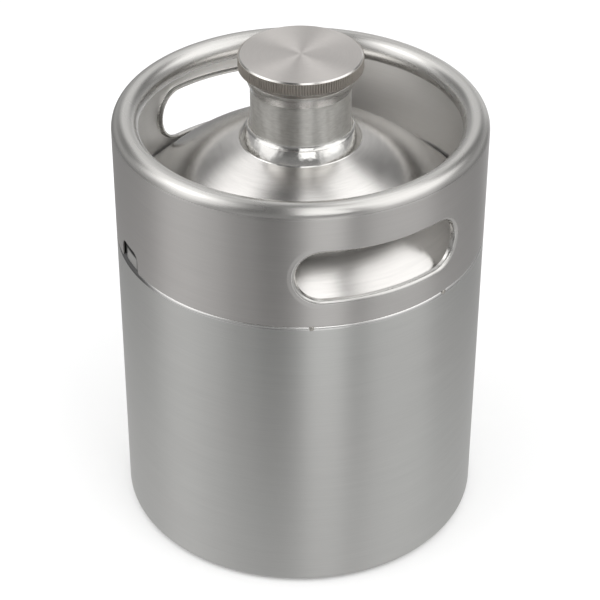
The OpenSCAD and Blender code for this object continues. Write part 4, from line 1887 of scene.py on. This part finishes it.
def build_soft_panel() -> bpy.types.NodeTree:
    """Builds the brightness that one panel adds in a direction.

    Returns:
        A group that takes a direction and a panel and puts out a level.
    """
    group = bpy.data.node_groups.new("soft_panel", "ShaderNodeTree")
    for name in ("Side", "Rise", "Middle side", "Half width", "Middle rise", "Half height",
                 "Edge", "Level"):
        node_input(group, name, 0.0, -1000.0)
    group.interface.new_socket("Brightness", in_out="OUTPUT", socket_type="NodeSocketFloat")
    source = group.nodes.new("NodeGroupInput").outputs
    result = group.nodes.new("NodeGroupOutput")

    def inside(place: str, middle: str, half: str) -> bpy.types.NodeSocket:
        """Adds a step from 1 inside the panel to 0 past its soft edge.

        Args:
            place: Name of the input that says where the ray goes, across or up.
            middle: Name of the input that says where the panel's middle is.
            half: Name of the input with half of the panel's size.

        Returns:
            The step's output.
        """
        away = math_node(group, "SUBTRACT", source[place], source[middle])
        off = math_node(group, "ABSOLUTE", math_node(group, "WRAP", away, 180.0, -180.0))
        return fade_node(group, math_node(group, "SUBTRACT", off, source[half]), 0.0, source["Edge"])

    across = inside("Side", "Middle side", "Half width")
    up = inside("Rise", "Middle rise", "Half height")
    share = math_node(group, "MULTIPLY", across, up)
    group.links.new(math_node(group, "MULTIPLY", share, source["Level"]), result.inputs[0])
    return group


@dataclass(frozen=True)
class SoftBox:
    """A lamp of the studio that lights the floor, by its place seen from the keg in degrees."""

    name: str
    side: float
    rise: float
    power: float


@dataclass
class Studio:
    """Floor, light and camera."""

    target: tuple[float, float, float] = (0.0, 0.0, 83.64 * MM)
    distance: float = 785.3 * MM
    azimuth: float = -25.9
    elevation: float = 34.811
    roll: float = 0.2
    lens: float = 121.68
    ambient: tuple[tuple[float, float], ...] = (
        (-90, 0.6), (-62, 0.2), (-38, 0.44), (-15, 0.27), (5, 0.5), (25, 0.27), (50, 0.15),
        (72, 0.1), (90, 0.15))
    panels: tuple[Panel, ...] = (
        Panel(-80, 17, 42, 9, 25, 1.3),
        Panel(-118, 33, 55, 6, 17, 1.3),
        Panel(16, 15, 60, 26, 5, 1.7),
        Panel(46, 8, 75, 6, 9, 0.65),
        Panel(71, 14, 49, 16, 25, 1.5),
        Panel(109, 2, 54, 13, 21, 1.5),
        Panel(146, 22, 61, 6, 11, 1.3),
        Panel(180, 12, 38, 6, 24, 0.7),
        Panel(100, 70, 90, 3, 15, 1.3),
        Panel(-71, 7, 9, 11, 9, 0.5),
        Panel(-69, 17, -44, 28, 15, 0.3),
        Panel(15, 8, -24, 27, 8, 0.62),
        Panel(-15, 6, -28, 34, 8, -0.18),
        Panel(62, 16, -20, 34, 10, 0.3),
        Panel(165, 12, -24, 30, 12, 0.4),
    )
    repeat_gain: float = 1.4
    near_floor_r: float = 220 * MM
    near_floor_fade: float = 80 * MM
    near_floor_cover: float = 0.8
    near_floor_level: float = 0.68
    repeat_from: float = 2.5
    darkest: float = 0.02
    floor_half: float = 6.0
    floor_level: float = 0.95
    boxes: tuple[SoftBox, ...] = (
        SoftBox("softbox_left", -70.0, 45.0, 3.0),
        SoftBox("softbox_right", 45.0, 50.0, 3.6),
    )
    box_w: float = 0.9
    box_h: float = 1.1
    box_distance: float = 1.3

    def build(self) -> None:
        """Sets up everything round the keg."""
        self.build_camera()
        self.build_floor()
        self.build_world()
        self.build_lamps()
        bpy.context.scene.view_settings.view_transform = "Standard"

    def direction(self, side: float, elevation: float) -> Vector:
        """A direction from the keg.

        Args:
            side: Degrees to the right of the camera, seen from the camera.
            elevation: Degrees above level.

        Returns:
            The unit direction.
        """
        turn = math.radians(self.azimuth + side)
        rise = math.radians(elevation)
        level = math.cos(rise)
        return Vector((math.sin(turn) * level, -math.cos(turn) * level, math.sin(rise)))

    def build_camera(self) -> None:
        """Puts the camera where the photograph was taken from."""
        data = bpy.data.cameras.new("camera")
        data.lens = self.lens
        data.sensor_width = 36.0
        data.clip_start = 0.05
        camera = bpy.data.objects.new("camera", data)
        bpy.context.scene.collection.objects.link(camera)
        back = self.direction(0, self.elevation)
        camera.location = Vector(self.target) + back * self.distance
        turn = back.to_track_quat("Z", "Y").to_matrix().to_4x4()
        camera.rotation_euler = (turn @ Matrix.Rotation(math.radians(self.roll), 4, "Z")).to_euler()
        bpy.context.scene.camera = camera

    def build_floor(self) -> None:
        """Lays a plain pale floor that is white where no shadow lies."""
        data = bpy.data.meshes.new("floor")
        half = self.floor_half
        corners = [(-half, -half, 0), (half, -half, 0), (half, half, 0), (-half, half, 0)]
        data.from_pydata(corners, [], [(0, 1, 2, 3)])
        floor = bpy.data.objects.new("floor", data)
        bpy.context.scene.collection.objects.link(floor)
        material = bpy.data.materials.new("floor_paper")
        material.use_nodes = True
        shader = material.node_tree.nodes["Principled BSDF"]
        shader.inputs["Base Color"].default_value = (*[self.floor_level] * 3, 1)
        shader.inputs["Roughness"].default_value = 1.0
        shader.inputs["Specular IOR Level"].default_value = 0.0
        self.show_floor_in_steel(material.node_tree, shader)
        data.materials.append(material)

    def show_floor_in_steel(self, tree: bpy.types.NodeTree, shader: bpy.types.Node) -> None:
        """Lets the steel mirror an even pale floor close to the keg, and the studio past it.

        Args:
            tree: Node tree of the floor's material.
            shader: The shader that everything else sees.
        """
        distance = tree.nodes.new("ShaderNodeVectorMath")
        distance.operation = "LENGTH"
        tree.links.new(tree.nodes.new("ShaderNodeTexCoord").outputs["Object"], distance.inputs[0])
        cover = fade_node(tree, distance.outputs["Value"], self.near_floor_r - self.near_floor_fade,
                          self.near_floor_r + self.near_floor_fade, self.near_floor_cover)
        glow = tree.nodes.new("ShaderNodeEmission")
        glow.inputs[0].default_value = (*[self.near_floor_level] * 3, 1)
        clear = tree.nodes.new("ShaderNodeBsdfTransparent")
        mirrored = tree.nodes.new("ShaderNodeMixShader")
        for socket, link in zip(mirrored.inputs, (cover, clear.outputs[0], glow.outputs[0])):
            tree.links.new(link, socket)
        whole = tree.nodes.new("ShaderNodeMixShader")
        path = tree.nodes.new("ShaderNodeLightPath")
        glossy = path.outputs["Is Glossy Ray"]
        for socket, link in zip(whole.inputs, (glossy, shader.outputs[0], mirrored.outputs[0])):
            tree.links.new(link, socket)
        tree.links.new(whole.outputs[0], tree.nodes["Material Output"].inputs[0])

    def build_world(self) -> None:
        """Builds the studio that the steel mirrors, white behind the keg for the camera.

        The real lamps are brighter than a picture's white, which shows where steel mirrors steel:
        what is seen after a second reflection is lifted.
        """
        world = bpy.data.worlds.new("studio")
        world.use_nodes = True
        tree = world.node_tree
        tree.nodes.clear()
        place = tree.nodes.new("ShaderNodeTexCoord")
        parts = tree.nodes.new("ShaderNodeSeparateXYZ")
        tree.links.new(place.outputs["Generated"], parts.inputs[0])
        x, y, z = parts.outputs
        front, right = self.direction(0, 0), self.direction(90, 0)
        ahead = math_node(tree, "MULTIPLY_ADD", x, front.x, math_node(tree, "MULTIPLY", y, front.y))
        aside = math_node(tree, "MULTIPLY_ADD", x, right.x, math_node(tree, "MULTIPLY", y, right.y))
        side = math_node(tree, "DEGREES", math_node(tree, "ARCTAN2", aside, ahead))
        rise = math_node(tree, "DEGREES", math_node(tree, "ARCSINE", z))
        ramp = tree.nodes.new("ShaderNodeValToRGB")
        ramp.color_ramp.interpolation = "EASE"
        while len(ramp.color_ramp.elements) > 1:
            ramp.color_ramp.elements.remove(ramp.color_ramp.elements[-1])
        for index, (degrees, level) in enumerate(self.ambient):
            at = degrees / 180 + 0.5
            stop = ramp.color_ramp.elements[0] if index == 0 else ramp.color_ramp.elements.new(at)
            stop.position = at
            stop.color = (level, level, level, 1)
        tree.links.new(math_node(tree, "MULTIPLY_ADD", rise, 1 / 180, 0.5), ramp.inputs[0])
        total = ramp.outputs[0]
        group = build_soft_panel()
        for panel in self.panels:
            node = tree.nodes.new("ShaderNodeGroup")
            node.node_tree = group
            tree.links.new(side, node.inputs["Side"])
            tree.links.new(rise, node.inputs["Rise"])
            for socket, value in zip(list(node.inputs)[2:], astuple(panel)):
                socket.default_value = value
            total = math_node(tree, "ADD", total, node.outputs[0])
        path = tree.nodes.new("ShaderNodeLightPath")
        studio = tree.nodes.new("ShaderNodeBackground")
        tree.links.new(math_node(tree, "MAXIMUM", total, self.darkest), studio.inputs[0])
        again = math_node(tree, "GREATER_THAN", path.outputs["Ray Depth"], self.repeat_from)
        gain = math_node(tree, "MULTIPLY_ADD", again, self.repeat_gain - 1, 1.0)
        tree.links.new(gain, studio.inputs[1])
        plain = tree.nodes.new("ShaderNodeBackground")
        plain.inputs[0].default_value = (1, 1, 1, 1)
        mix = tree.nodes.new("ShaderNodeMixShader")
        shown = math_node(tree, "MAXIMUM", path.outputs["Is Camera Ray"], path.outputs["Is Diffuse Ray"])
        tree.links.new(shown, mix.inputs[0])
        tree.links.new(studio.outputs[0], mix.inputs[1])
        tree.links.new(plain.outputs[0], mix.inputs[2])
        output = tree.nodes.new("ShaderNodeOutputWorld")
        tree.links.new(mix.outputs[0], output.inputs[0])
        bpy.context.scene.world = world

    def build_lamps(self) -> None:
        """Hangs two soft boxes that light the floor and throw the soft shadow."""
        for box in self.boxes:
            data = bpy.data.lights.new(box.name, "AREA")
            data.shape = "RECTANGLE"
            data.size, data.size_y = self.box_w, self.box_h
            data.energy = box.power
            lamp = bpy.data.objects.new(box.name, data)
            bpy.context.scene.collection.objects.link(lamp)
            away = self.direction(box.side, box.rise)
            lamp.location = Vector(self.target) + away * self.box_distance
            lamp.rotation_euler = away.to_track_quat("Z", "Y").to_euler()
            lamp.visible_glossy = False


def main() -> None:
    """Builds the studio and every piece of the keg."""
    logging.basicConfig(level=logging.INFO, format="%(name)s: %(message)s")
    Studio().build()
    finishes = Finishes()
    Vessel(SIZES, finishes).build()
    Collar(SIZES, finishes).build()
    Tacks(SIZES, finishes).build()
    Neck(SIZES, finishes).build()
    Cap(SIZES, finishes).build()


if __name__ == "__main__":
    main()
